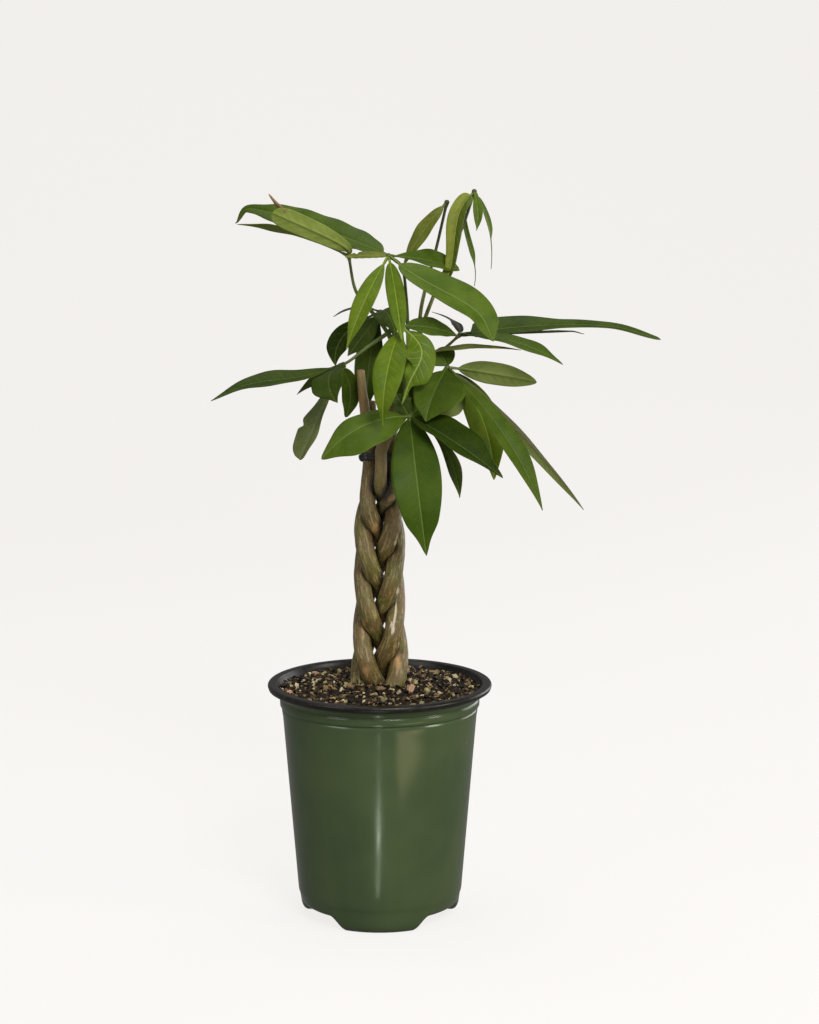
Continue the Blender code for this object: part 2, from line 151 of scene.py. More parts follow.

# Marks on the front of the trunk, as (x, z, half width, half height, weight). A tan scar is where a
# leaf has dropped, and a pale patch is where the bark has flaked, and also a painted highlight.
TAN_SCARS = [
    (8.5, 314, 3.4, 3.2, 1.0),
    (-3.0, 292, 2.6, 5.0, 1.0),
    (-12.0, 219, 2.2, 7.5, 0.9),
    (13.4, 193, 3.6, 6.5, 0.8),
    (-10.0, 187, 4.0, 6.5, 0.6),
    (5.4, 336, 2.2, 5.5, 0.7),
    (-13.4, 256, 1.6, 4.0, 0.6),
    (11.8, 206, 2.6, 4.0, 0.7),
    (-12.5, 385, 3.0, 12.0, 0.8),
]
# Pale flaking, painted whiter as highlights too, most of it on the right of the trunk.
PALE_AND_HIGHLIGHT_PATCHES = [
    (13.4, 288, 1.6, 5.5, 0.8),
    (11.2, 281, 1.4, 4.5, 0.9),
    (13.2, 246, 1.7, 6.5, 0.9),
    (12.4, 232, 1.9, 8.0, 0.9),
    (9.8, 219, 2.4, 8.5, 0.95),
    (14.0, 206, 1.4, 6.0, 0.8),
    (-12.4, 207, 1.7, 4.0, 0.6),
    (12.0, 262, 1.4, 7.0, 0.5),
]

PAINTED_LIGHT_FROM = 310.0  # on the front stem, the height from which its bark is lightened by painted light
PALE_STUMP_FROM = 356.0  # on the left stem

# Each leaf stalk: its route from the stem to the hub of its leaflets.
STALKS = {
    "a": [(21.4, 7.6, 399), (20.8, 4, 432), (19.5, -3, 460), (16.5, -9, 481), (7, -12, 489.3)],
    "b": [(9.4, 7.2, 427), (0, 8.5, 441), (-12, 8, 455), (-18, 6, 466), (-21.8, 5, 488)],
    "c": [(27.6, 15.0, 400), (29.5, 14, 441), (33, 12, 462), (41, 11, 492), (48.8, 10, 526)],
    "d": [(26.6, 8.8, 398), (29.5, 7, 430), (39, 7, 458), (51, 6, 486), (62, 5, 514), (68.4, 5, 534)],
    "e": [(27.2, 12.2, 392), (34, 11, 404), (46, 8, 419), (52, 6, 425), (58.4, 5, 431)],
    "f": [(25.6, -13.2, 387), (30, -11, 400), (36.6, -6, 419)],
    "g": [(19.4, -19.6, 386), (19, -22, 410), (16.0, -25, 440)],
    "h": [(24.2, -16.9, 382), (36, -15, 396), (49.2, -10, 409)],
    "i": [(20.6, -18.9, 379), (21.6, -23, 378), (22, -28, 375.4)],
    "j": [(10.0, 2.4, 436), (5, -2, 432), (-7, -4, 424), (-21, -7, 413.5), (-28, -8, 410)],
    "k": [(12.0, 8.6, 430), (7, 14, 440), (0.8, 20, 446)],
}

# Each leaflet, lettered by its stalk: its tip, how far the middle of its midrib bows out, its
# greatest width, the way its upper side faces, and how far along it is widest, from 0 to 1.
LEAFLETS = {
    "a1": ((-107.5, 56, 518.3), (-0.5, 5, 5.3), 24.5, (0, -0.5, 1), 0.36),
    "a2": ((-22.8, -50, 425.8), (-1.9, -10, 1.6), 15.4, (-0.3, -1, 0.3), 0.41),
    "a3": ((16.5, -46, 432.4), (0.7, -3, 0.2), 13.4, (0.1, -1, 0.3), 0.41),
    "a4": ((83.5, -40, 434.9), (3, -8, 2.7), 26.4, (0.3, -1, 1), 0.5),
    "a5": ((58, 3, 477.8), (0.8, 0, 2), 24, (0, -0.6, 1), 0.65),
    "a6": ((-24, -14, 488.6), (0, -1, 1), 5.5, (0, -1, 0.6), 0.5),
    "b1": ((-75.5, -24, 520.5), (5.5, -3, 0.9), 16.5, (0.1, 1, 0.25), 0.66),
    "b2": ((-101.7, 0, 511), (1.7, 3, 3.2), 18, (0, 0.3, 1), 0.62),
    "c1": ((17.7, 9, 481), (-1, -3, 2), 15.5, (-0.8, -0.8, 0.5), 0.45),
    "d1": ((46.8, -6, 466.8), (-2.9, -4, 1.4), 15, (-0.5, -1, 0.2), 0.24),
    "d2": ((69.9, -6, 506.6), (1.5, -4, 0.9), 7.4, (0.1, -1, 0.2), 0.45),
    "d3": ((80.9, 8, 478.4), (4.5, 2, 1.5), 7, (1, -0.6, 0.2), 0.31),
    "d4": ((69.3, 24, 464.7), (-4.4, 11, 0.2), 5.2, (0.6, -0.8, 0.2), 0.5),
    "e1": ((203, -4, 433.5), (3.3, 4, 5.8), 24.5, (0, -0.5, 1), 0.23),
    "e2": ((149.3, 34, 430.8), (-0.3, 11, -1.3), 20, (0, 0.1, 1), 0.5),
    "e3": ((130.7, -40, 414.4), (2.5, -10, 6), 20, (0.1, -0.3, 1), 0.5),
    "e4": ((38.3, 26, 445.7), (4.9, 4, 0.8), 8.7, (0.3, -0.3, 1), 0.3),
    "f1": ((101.3, -30, 423.7), (-2, -3, 3.2), 11, (0, -0.28, 1), 0.3),
    "g1": ((3.4, -60, 372.3), (-4, -18, 2), 22.4, (-0.2, -1, 0.4), 0.38),
    "g2": ((16.5, -40, 386.2), (12, -4, 1.5), 23, (0.4, -1, 0.3), 0.5),
    "g3": ((56.7, -14, 431.7), (1.2, 0, 2.5), 19, (0, -0.75, 1), 0.42),
    "g4": ((18, -16, 378), (0, 4, 0), 24, (0, -1, 0.2), 0.7),
    "h1": ((116.6, -50, 311.3), (6.8, -10, 2.9), 19, (0.6, -0.9, 0.5), 0.5),
    "h2": ((148.3, -12, 305.5), (1.6, 5, 2.4), 15, (0.6, -0.6, 0.6), 0.36),
    "h3": ((84.3, 26, 321.4), (8, 12, 3), 25, (0.2, -1, 0.3), 0.5),
    "h4": ((33.3, -42, 373.7), (-2.2, -5, 1), 36, (-0.3, -1, 0.6), 0.44),
    "h5": ((113.7, -8, 397.8), (-0.3, 1, 0.8), 17.7, (0, 1, 0.25), 0.47),
    "h6": ((41.3, -6, 421.2), (1, 0, 0), 19.8, (0, -1, 0.2), 0.57),
    "h7": ((42, -14, 374), (5, 2, -2), 26, (0, 1, 0.2), 0.6),
    "i1": ((-40.6, -48, 347.8), (-2.2, -6, 9), 35, (-0.4, -0.8, 0.8), 0.5),
    "i2": ((34, -58, 280), (-0.3, -14, 1.9), 35.6, (0, -1, 0.3), 0.43),
    "i3": ((88.2, -52, 334.9), (-3.2, -6, 5.7), 33.9, (0.4, -0.6, 0.9), 0.47),
    "i4": ((58.3, -18, 315), (7, 4, 6), 11.5, (0.5, -1, 0.2), 0.7),
    "i5": ((30, -24, 382.5), (0, 0, 0), 11, (0, -1, 0.3), 0.5),
    "i6": ((12, -27, 392), (0, 0, 0), 14, (0, -1, 0.3), 0.5),
    "j1": ((-121.6, -6, 386.2), (0.4, 2, 1.1), 20.8, (-0.1, -0.45, 1), 0.48),
    "j2": ((-60.5, 22, 385.4), (-0.8, 4, 1.1), 8.5, (-0.3, -1, 0.4), 0.5),
    "j3": ((-29.3, -38, 386.9), (-6.7, -9, 3.5), 26, (-0.6, -0.8, 0.3), 0.42),
    "j4": ((-57.5, -8, 341.3), (-0.3, 3, -2.8), 22, (-0.8, -0.7, 0.3), 0.73),
    "j5": ((-24.6, 6, 370.6), (5, 6, 1.2), 13.5, (0.2, -1, 0), 0.5),
    "k1": ((-32, 18, 407), (-10, 7, 2), 17, (-0.3, -1, 0.2), 0.6),
    "k2": ((-23, 10, 415), (0, -2, 0), 18, (-0.4, -1, 0.5), 0.5),
    "k3": ((12, -10, 433), (0, 0, 6), 20, (0, -0.8, 0.8), 0.5),
    "k4": ((-34, 38, 441), (0, 7, 4), 6, (0, -0.2, 1), 0.5),
    "k5": ((-9, 14, 374), (-3, 6, 0), 22, (-0.3, -1, 0.2), 0.5),
}

# Leaflets that the CAD model leaves out: small ones, deep in the crown or torn.
SMALL_LEAFLETS = ("a6", "g4", "h6", "h7", "i5", "i6")

DRY_TIP = [
    (-66.0, -21.5, 521.3),
    (-69.0, -21, 523.6),
    (-72.0, -20.5, 526.2),
    (-74.8, -20, 529.6),
    (-77.7, -19.5, 533.4),
]
DRY_TIP_SIZES = (1.0, 1.9, 2.3, 2.1, 0.6)

# How a leaflet differs from a plain one.
# tone: its greens. veins: strength of the side veins. cup: rise of its edges. round: power of its
# outline, lower for blunter ends. stalk: how far along the blade starts. drip: (share, from, to),
# by which the tip is narrowed. lop: widths of its two halves. nick: (half, place, depth) of a dent
# in the outline. ripple and waves: waviness of the edges. sway: an S in the midrib. hook: how far
# the tip bends off, after hook_from. turn: the way that the upper side looks at the tip.
# curl: (half, start across, degrees, from, to) of an edge that rolls over. A half is 1 or -1.
PLAIN = dict(
    tone="mid",
    veins=1.0,
    cup=0.14,
    round=0.85,
    stalk=0.05,
    drip=(0.3, 0.72, 0.97),
    lop=(1.0, 1.0),
    nick=None,
    ripple=0.05,
    waves=2.5,
    sway=(0, 0, 0),
    hook=(0, 0, 0),
    hook_from=0.7,
    turn=None,
    curl=None,
)
LOOKS = {
    "a1": dict(
        sway=(7.2, 0, -3.2), hook=(1, 0, -10), hook_from=0.84, drip=(0.3, 0.6, 0.8), waves=7,
        turn=(0, -1, 0.6),
    ),
    "a2": dict(tone="bright", stalk=0.08, ripple=0.03, round=0.96),
    "a3": dict(tone="bright", stalk=0.07, ripple=0.03, round=0.62),
    "a4": dict(
        tone="fresh", veins=0.4, sway=(-3.5, 0, -0.7), hook=(-2, 0, -4), stalk=0.11, round=0.42,
        lop=(0.85, 1.15), drip=(0.5, 0.86, 1),
    ),
    "a5": dict(cup=0.25, round=0.6),
    "a6": dict(tone="olive", round=0.35, stalk=0, nick=(1, 0.72, 0.7), ripple=0.08, waves=6),
    "b1": dict(tone="pale", sway=(7, 0, -2.4), round=0.5, stalk=0, drip=(0, 0.8, 1), veins=0.5, cup=0.1),
    # b2 takes the bright tone as painted light, for its underside lies in shade.
    "b2": dict(tone="bright"),
    "c1": dict(tone="olive", round=0.7),
    "d1": dict(tone="folded", sway=(-1.9, 0, 3.5), cup=0.5, round=0.64, ripple=0.1),
    "d2": dict(tone="fresh", cup=0.3),
    "d3": dict(tone="fresh", cup=0.3, drip=(0.85, 0.5, 0.65)),
    "d4": dict(tone="fresh", cup=0.3, sway=(-4, 0, 3.9), drip=(0.85, 0.6, 0.75)),
    "e1": dict(tone="dark", cup=0.22, round=0.35, drip=(0.5, 0.28, 0.5), hook=(0, 0, -5)),
    "e2": dict(tone="dark", hook=(1, 0, -2), hook_from=0.9),
    "e3": dict(round=0.75),
    "e4": dict(tone="purple", drip=(0.6, 0.3, 0.6)),
    "f1": dict(tone="olive", stalk=0, drip=(0.3, 0.5, 0.9)),
    "g1": dict(tone="bright", round=1.1, lop=(0.9, 1.1)),
    "g2": dict(
        tone="rolled", sway=(3.9, 0, -0.2), ripple=0.1, veins=1.6, drip=(0.75, 0.66, 0.8), round=0.62,
        lop=(1.5, 1.0), curl=(1, 0.4, 180, 0.45, 1.15),
    ),
    "g3": dict(tone="fresh"),
    "g4": dict(round=0.6),
    "h1": dict(cup=0.25),
    "h2": dict(tone="two_tone", cup=0.35, drip=(0, 0.6, 0.9), lop=(1.5, 0.5)),
    # h3 takes the bright tone as painted light, for it lies in shade.
    "h3": dict(tone="bright", round=0.7, veins=0.5),
    "h4": dict(lop=(0.8, 1.33)),
    "h5": dict(tone="pale_mid", round=0.6, stalk=0.11, drip=(0, 0.8, 1), veins=0.4),
    "h6": dict(round=0.42, stalk=0),
    "h7": dict(tone="pale_mid", round=0.6),
    "i1": dict(tone="fresh", round=0.65, veins=0.6, lop=(0.6, 1.45)),
    "i2": dict(tone="front", stalk=0, round=0.8, drip=(0.35, 0.75, 0.93), veins=0.7),
    # The deep tone here is painted shade.
    "i3": dict(tone="deep", cup=0.4, round=0.72, stalk=0.02, veins=0.3),
    "i4": dict(stalk=0.1, round=1),
    "i5": dict(round=0.6),
    "i6": dict(tone="dark", round=0.6),
    "j1": dict(tone="dark", cup=0.2, sway=(-0.9, 0, -2.2), hook=(0, 0, -2)),
    "j2": dict(drip=(0.4, 0.5, 0.9)),
    "j3": dict(tone="dark", ripple=0.1, lop=(1.22, 1.25)),
    # j4's tone is partly painted sheen.
    "j4": dict(tone="old_and_sheen", ripple=0.08, lop=(1.4, 0.65), nick=(1, 0.65, 0.3), round=0.5, drip=(0, 0.8, 1)),
    "j5": dict(round=0.45),
    # The deep tone here is painted shade.
    "k1": dict(tone="deep"),
    "k2": dict(tone="dark"),
    "k4": dict(tone="purple"),
}

# A second colour that covers the half of the blade where across is negative.
HALF_TINTS = {"two_tone": (0.08, 0.082, 0.032), "folded": (0.06, 0.09, 0.006)}

# Each tone: the deep, fresh and vein greens of the upper side, then of the underside, in
# thousandths, and the gloss.
TONES = {
    "folded": (
        ((130, 165, 12), (190, 215, 25), (250, 270, 60)),
        ((110, 130, 20), (150, 170, 34), (180, 200, 50)),
        0.14,
    ),
    "two_tone": (
        ((70, 95, 14), (95, 120, 22), (130, 150, 35)),
        ((70, 80, 20), (95, 100, 34), (120, 130, 50)),
        0.14,
    ),
    "rolled": (
        ((60, 112, 2), (95, 150, 5), (260, 320, 80)),
        ((230, 290, 60), (290, 350, 95), (330, 390, 130)),
        0.12,
    ),
    # Painted shade: a darker copy of the leaves' green, for leaflets i3 and k1, which lie in the crown's
    # shade.
    "deep": (
        ((12, 25, 1), (24, 43, 2), (100, 130, 35)),
        ((25, 38, 6), (38, 52, 12), (70, 90, 24)),
        0.04,
    ),
    "bright": (
        ((58, 104, 2), (92, 142, 5), (190, 250, 35)),
        ((110, 150, 20), (150, 190, 32), (210, 250, 60)),
        0.1,
    ),
    "fresh": (
        ((44, 83, 3), (70, 114, 6), (135, 190, 42)),
        ((85, 120, 18), (110, 150, 28), (160, 200, 50)),
        0.14,
    ),
    "front": (
        ((28, 58, 2), (44, 78, 3), (115, 170, 32)),
        ((85, 120, 18), (110, 150, 28), (160, 200, 50)),
        0.1,
    ),
    "olive": (
        ((75, 100, 6), (115, 135, 14), (170, 190, 35)),
        ((85, 100, 20), (120, 130, 34), (150, 160, 50)),
        0.18,
    ),
    "mid": (
        ((36, 67, 3), (58, 96, 6), (105, 145, 34)),
        ((65, 88, 16), (88, 112, 24), (110, 140, 35)),
        0.09,
    ),
    "dark": (
        ((21, 42, 2), (40, 64, 5), (85, 115, 30)),
        ((35, 50, 10), (55, 70, 16), (80, 100, 28)),
        0.09,
    ),
    # An old leaf's duller, greyer green, painted lighter as well to stand in for its sheen.
    "old_and_sheen": (
        ((66, 94, 18), (108, 134, 36), (140, 160, 52)),
        ((70, 85, 22), (105, 120, 38), (120, 135, 45)),
        0.3,
    ),
    "pale": (
        ((60, 90, 10), (85, 115, 16), (120, 150, 35)),
        ((165, 212, 40), (215, 265, 58), (100, 130, 18)),
        0.12,
    ),
    "pale_mid": (
        ((34, 60, 4), (54, 82, 8), (100, 130, 30)),
        ((135, 182, 40), (175, 216, 56), (105, 140, 26)),
        0.14,
    ),
    "purple": (
        ((22, 22, 10), (40, 36, 18), (60, 55, 25)),
        ((30, 28, 16), (48, 42, 24), (60, 55, 30)),
        0.25,
    ),
}


# ---------------------------------------------------------------- shader helpers


class Nodes:
    """Short names for building a material's nodes."""

    def __init__(self, name):
        self.material = bpy.data.materials.new(name)
        self.material.use_nodes = True
        self.tree = self.material.node_tree
        self.shader = self.tree.nodes["Principled BSDF"]
        self.colour = None

    def feed(self, node, socket, value):
        """Links another node's output to a socket, or sets the socket to a number or a colour."""
        place = node.inputs[socket]
        if isinstance(value, bpy.types.NodeSocket):
            self.tree.links.new(value, place)
        elif place.type == "RGBA":
            place.default_value = (*value, 1.0)
        else:
            place.default_value = value

    def add(self, kind, output, inputs, **settings):
        """Adds a node with these settings and inputs, and returns one of its outputs."""
        node = self.tree.nodes.new("ShaderNode" + kind)
        for key, value in settings.items():
            setattr(node, key, value)
        for socket, value in inputs.items():
            self.feed(node, socket, value)
        return node.outputs[output]

    def stretch(self, vector, scale):
        return self.add("Mapping", "Vector", {"Vector": vector, "Scale": scale})

    def coordinates(self, scale=(1, 1, 1)):
        return self.stretch(self.add("TexCoord", "Object", {}), scale)

    def attribute(self, name, output="Vector"):
        return self.add("Attribute", output, {}, attribute_name=name)

    def separate(self, vector):
        return self.add("SeparateXYZ", "X", {"Vector": vector}).node.outputs

    def noise(self, vector, scale, detail, roughness=0.55):
        inputs = {"Vector": vector, "Scale": scale, "Detail": detail, "Roughness": roughness}
        return self.add("TexNoise", "Fac", inputs)

    def cells(self, vector, scale, feature="F1"):
        inputs = {"Vector": vector, "Scale": scale}
        return self.add("TexVoronoi", "Distance", inputs, feature=feature)

    def math(self, operation, first, second=0.0):
        return self.add("Math", "Value", {0: first, 1: second}, operation=operation)

    def times(self, first, second):
        return self.math("MULTIPLY", first, second)

    def ramp(self, value, low, high, start=0.0, end=1.0):
        """Maps low..high smoothly to start..end."""
        inputs = {"Value": value, "From Min": low, "From Max": high, "To Min": start, "To Max": end}
        return self.add("MapRange", "Result", inputs, interpolation_type="SMOOTHSTEP")

    def mix(self, factor, first, second, blend="MIX"):
        inputs = {0: factor, 6: first, 7: second}
        return self.add("Mix", 2, inputs, data_type="RGBA", blend_type=blend)

    def paint(self, share, colour):
        """Covers the colour so far with another, as far as share says."""
        self.colour = self.mix(share, self.colour, colour)

    def bump(self, height, distance, strength):
        inputs = {"Height": height, "Distance": distance, "Strength": strength}
        return self.add("Bump", "Normal", inputs)

    def finish(self, roughness, normal, specular):
        self.feed(self.shader, "Base Color", self.colour)
        self.feed(self.shader, "Roughness", roughness)
        if normal is not None:
            self.feed(self.shader, "Normal", normal)
        self.feed(self.shader, "Specular IOR Level", specular)
        return self.material


# ---------------------------------------------------------------- materials


def blade_material(name, colours, gloss, underside, half_tint=None):
    """One side of a leaf blade. Attribute blade holds (along, across, side vein phase), and
    margins holds (mm from the midrib, mm from the edge, strength of the side veins)."""
    deep, fresh, vein = (tuple(channel / 1000 for channel in colour) for colour in colours)
    n = Nodes(name)
    place = n.coordinates()
    along, across, phase = n.separate(n.attribute("blade"))
    from_rib, from_edge, strength = n.separate(n.attribute("margins"))
    spread = n.math("ABSOLUTE", across)
    to_vein = n.math("PINGPONG", phase, 0.5)
    side_vein = n.times(n.ramp(to_vein, 0.01, 0.1, 1.0, 0.0), n.ramp(spread, 0.4, 0.95, 1.0, 0.0))
    side_vein = n.times(side_vein, strength)
    rib = n.ramp(from_rib, 0.22, 0.6, 1.0, 0.0)
    net = n.ramp(n.cells(place, 620.0, "DISTANCE_TO_EDGE"), 0.0, 0.14, 1.0, 0.0)
    patches = n.noise(place, 60.0, 3.0)
    blush = n.noise(place, 300.0, 4.0, 0.65)
    n.colour = n.mix(n.ramp(patches, 0.34, 0.66), deep, fresh)
    n.paint(n.times(n.ramp(to_vein, 0.1, 0.5), 0.22), fresh)
    n.paint(n.ramp(blush, 0.5, 0.78, 0.0, 0.4), fresh)
    n.paint(n.ramp(blush, 0.2, 0.45, 0.35, 0.0), deep)
    n.paint(n.ramp(along, 0.8, 1.0, 0.0, 0.35), fresh)
    if half_tint:
        n.paint(n.ramp(across, -0.12, 0.02, 1.0, 0.0), half_tint)
    n.paint(n.times(side_vein, 0.42 if underside else 0.24), vein)
    n.paint(n.times(net, 0.1), vein)
    n.paint(n.times(rib, 0.8), vein)
    n.paint(n.ramp(from_edge, 0.08, 0.35, 0.3, 0.0), vein)
    least, most = (0.5, 0.62) if underside else (0.36, 0.5)
    rough = n.ramp(patches, 0.2, 0.8, least, most)
    quilt = n.math("ADD", n.times(net, 0.5), n.times(blush, 0.9))
    return n.finish(rough, n.bump(quilt, 0.00018, 0.7), gloss)


def blade_materials():
    """The materials of the upper side and the underside in each tone."""
    made = {}
    for tone, (upper, under, gloss) in TONES.items():
        above = blade_material(f"leaf_{tone}", upper, gloss, False, HALF_TINTS.get(tone))
        below = blade_material(f"leaf_{tone}_underside", under, gloss, True)
        made[tone] = (above, below)
    return made


def petiole_material(name, lower, upper, turns):
    """Green of a leaf stalk. The colour changes from lower to upper at the height turns, in metres."""
    n = Nodes(name)
    place = n.coordinates()
    height = n.separate(place)[2]
    patches = n.noise(place, 90.0, 3.0)
    streaks = n.noise(n.coordinates((1.0, 1.0, 0.2)), 1400.0, 2.0)
    n.colour = n.mix(n.ramp(height, turns - 0.012, turns + 0.012), lower, upper)
    n.paint(n.ramp(patches, 0.45, 0.75, 0.0, 0.6), (0.06, 0.06, 0.02))
    n.paint(n.ramp(streaks, 0.4, 0.8, 0.0, 0.25), (0.2, 0.22, 0.07))
    return n.finish(0.45, n.bump(streaks, 0.0001, 0.5), 0.3)


def bark_material(name, green, brown):
    """Young bark. Attribute strand holds a place round and along the stem, in metres, and marks
    holds the weights of the tan scars, of the pale flaking with painted highlights, and of the
    painted light on the front stem and the pale stump of the left one. Painted shade darkens the
    bark, by an attribute of its own, where two stems touch."""
    n = Nodes(name)
    along = n.attribute("strand")
    tan, pale, stump_and_painted_light = n.separate(n.attribute("marks"))
    crevice_shade = n.attribute("crevice_shade", "Fac")
    patches = n.noise(along, 75.0, 4.0, 0.6)
    mottling = n.noise(along, 330.0, 5.0, 0.7)
    fibres = n.noise(n.stretch(along, (1.0, 1.0, 0.16)), 620.0, 4.0, 0.65)
    lenticels = n.cells(along, 300.0)
    n.colour = n.mix(n.ramp(patches, 0.38, 0.62), green, brown)
    n.paint(n.ramp(mottling, 0.5, 0.74, 0.0, 0.8), (0.03, 0.021, 0.008))
    n.paint(n.ramp(fibres, 0.5, 0.66, 0.0, 0.85), (0.36, 0.28, 0.12))
    n.paint(n.ramp(lenticels, 0.05, 0.15, 0.65, 0.0), (0.42, 0.33, 0.17))
    # Painted light on the upper front stem; on the left stem, its real pale stump.
    n.paint(n.times(stump_and_painted_light, 0.55), (0.38, 0.27, 0.11))
    crumbly = n.math("SUBTRACT", n.math("ADD", tan, mottling), 0.5)
    n.paint(n.ramp(crumbly, 0.35, 0.75, 0.0, 0.95), (0.44, 0.25, 0.095))
    # Pale flaking, which also stands in for painted highlights on the bark.
    flaking_and_highlight = n.math("ADD", n.times(fibres, 1.4), n.math("SUBTRACT", pale, 0.95))
    n.paint(n.times(n.ramp(flaking_and_highlight, 0.32, 0.52), 0.85), (0.62, 0.55, 0.4))
    # Painted shade: the bark darkens towards another stem, where shade falls between them.
    n.paint(n.ramp(crevice_shade, 0.0, 1.0, 0.0, 0.9), (0.01, 0.007, 0.003))
    rough = n.ramp(mottling, 0.35, 0.65, 0.2, 0.55)
    lumps = n.math("ADD", n.times(fibres, 0.8), n.times(mottling, 0.8))
    return n.finish(rough, n.bump(lumps, 0.0013, 0.9), 0.45)


def mottled_material(name, pattern, colours, roughness, bump, specular):
    """A material in two colours, mixed and roughened by the same noise of (scale, detail)."""
    n = Nodes(name)
    patches = n.noise(n.coordinates(), *pattern)
    n.colour = n.mix(patches, *colours)
    return n.finish(roughness, n.bump(patches, *bump), specular)


def cut_material():
    """The sawn or broken end of a stem."""
    colours = ((0.34, 0.2, 0.1), (0.16, 0.085, 0.04))
    return mottled_material("stem_scar", (700.0, 3.0), colours, 0.7, (0.0002, 0.6), 0.3)


def tie_material():
    colours = ((0.008, 0.008, 0.008), (0.026, 0.024, 0.022))
    return mottled_material("tie_black", (800.0, 3.0), colours, 0.42, (0.0002, 0.5), 0.5)


def dead_tip_material():
    colours = ((0.1, 0.055, 0.022), (0.3, 0.19, 0.085))
    return mottled_material("dry_tip", (500.0, 4.0), colours, 0.75, (0.0003, 0.6), 0.3)


def pot_material():
    """Green moulded plastic with faint upright flow marks, dust and scuffs."""
    n = Nodes("pot_green")
    place = n.coordinates()
    cloud = n.noise(place, 16.0, 3.0)
    flow = n.noise(n.coordinates((1.0, 1.0, 0.05)), 60.0, 3.0)
    dust = n.noise(place, 900.0, 3.0)
    specks = n.cells(place, 62.0)
    n.colour = n.mix(n.ramp(cloud, 0.3, 0.7), (0.045, 0.069, 0.029), (0.06, 0.086, 0.033))
    n.paint(n.ramp(flow, 0.45, 0.75, 0.0, 0.25), (0.068, 0.092, 0.038))
    n.paint(n.ramp(dust, 0.62, 0.8, 0.0, 0.08), (0.2, 0.21, 0.15))
    n.paint(n.ramp(specks, 0.012, 0.03, 0.8, 0.0), (0.4, 0.42, 0.3))
    return n.finish(n.ramp(cloud, 0.3, 0.7, 0.16, 0.22), n.bump(flow, 0.00025, 0.12), 0.38)


def lip_material():
    """The black inner layer of the pot, which also rolls over the lip."""
    n = Nodes("pot_black")
    dust = n.noise(n.coordinates(), 300.0, 4.0)
    n.colour = n.mix(n.ramp(dust, 0.45, 0.8), (0.0068, 0.0056, 0.0042), (0.024, 0.019, 0.0135))
    return n.finish(n.ramp(dust, 0.3, 0.8, 0.32, 0.44), n.bump(dust, 0.0001, 0.12), 0.32)


def soil_material():
    n = Nodes("potting_mix")
    place = n.coordinates()
    crumbs = n.noise(place, 420.0, 6.0, 0.7)
    patches = n.noise(place, 60.0, 3.0)
    n.colour = n.mix(n.ramp(crumbs, 0.35, 0.75), (0.006, 0.005, 0.003), (0.05, 0.033, 0.017))
    n.paint(n.ramp(patches, 0.45, 0.75, 0.0, 0.4), (0.03, 0.018, 0.01))
    return n.finish(0.9, n.bump(crumbs, 0.0012, 0.9), 0.25)


def chip_material():
    """Bark, pumice and perlite bits, each with its own colour in attribute tint."""
    n = Nodes("potting_bits")
    grain = n.noise(n.coordinates(), 1300.0, 5.0, 0.7)
    shade = n.mix(n.ramp(grain, 0.3, 0.7), (0.45, 0.42, 0.38), (1.15, 1.12, 1.05))
    n.colour = n.mix(1.0, n.attribute("tint", "Color"), shade, "MULTIPLY")
    return n.finish(0.8, n.bump(grain, 0.0005, 0.8), 0.3)


# ---------------------------------------------------------------- geometry helpers


def smoothstep(low, high, value):
    share = np.clip((value - low) / (high - low), 0.0, 1.0)
    return share * share * (3 - 2 * share)


def unit(vector):
    vector = np.asarray(vector, float)
    return vector / np.linalg.norm(vector, axis=-1, keepdims=True)


def on_circle(radius, angle, centre=(0, 0)):
    return centre[0] + radius * math.cos(angle), centre[1] + radius * math.sin(angle)


def lengths_along(points):
    """How far along a route each of its points lies."""
    return np.concatenate([[0], np.cumsum(np.linalg.norm(np.diff(points, axis=0), axis=1))])


def build(name, points, faces, materials, slots=None, smooth=True):
    """A mesh object from points in millimetres."""
    mesh = bpy.data.meshes.new(name)
    mesh.from_pydata((np.asarray(points) * MM).tolist(), [], [list(face) for face in faces])
    for material in materials:
        mesh.materials.append(material)
    if slots is not None:
        mesh.polygons.foreach_set("material_index", slots)
    if smooth:
        mesh.shade_smooth()
    mesh.update()
    obj = bpy.data.objects.new(name, mesh)
    bpy.context.scene.collection.objects.link(obj)
    return obj


def place_piece(obj, slot, *nodes):
    """Fixes a piece to the plant's one body, and hides the CAD nodes that it stands for."""
    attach(obj, "root")
    if nodes:
        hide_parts(*nodes)


def add_attribute(obj, name, values, kind="FLOAT_VECTOR", key="vector"):
    attribute = obj.data.attributes.new(name, kind, "POINT")
    attribute.data.foreach_set(key, np.asarray(values, np.float32).ravel())


def rounded(points, steps):
    """A smooth route through the given points, by the Catmull-Rom rule."""
    points = [np.asarray(point, float) for point in points]
    ends = [2 * points[0] - points[1]] + points + [2 * points[-1] - points[-2]]
    route = []
    for before, start, end, after in zip(ends, ends[1:], ends[2:], ends[3:]):
        bend = 2 * before - 5 * start + 4 * end - after
        twist = 3 * start - before - 3 * end + after
        for j in range(steps):
            t = j / steps
            route.append(0.5 * (2 * start + (end - before) * t + bend * t * t + twist * t**3))
    route.append(points[-1])
    return route


def band_faces(low, high, sides):
    """Faces between two rings of points, whose first points are numbers low and high."""
    faces = []
    for side in range(sides):
        after = (side + 1) % sides
        faces.append((low + side, high + side, high + after, low + after))
    return faces


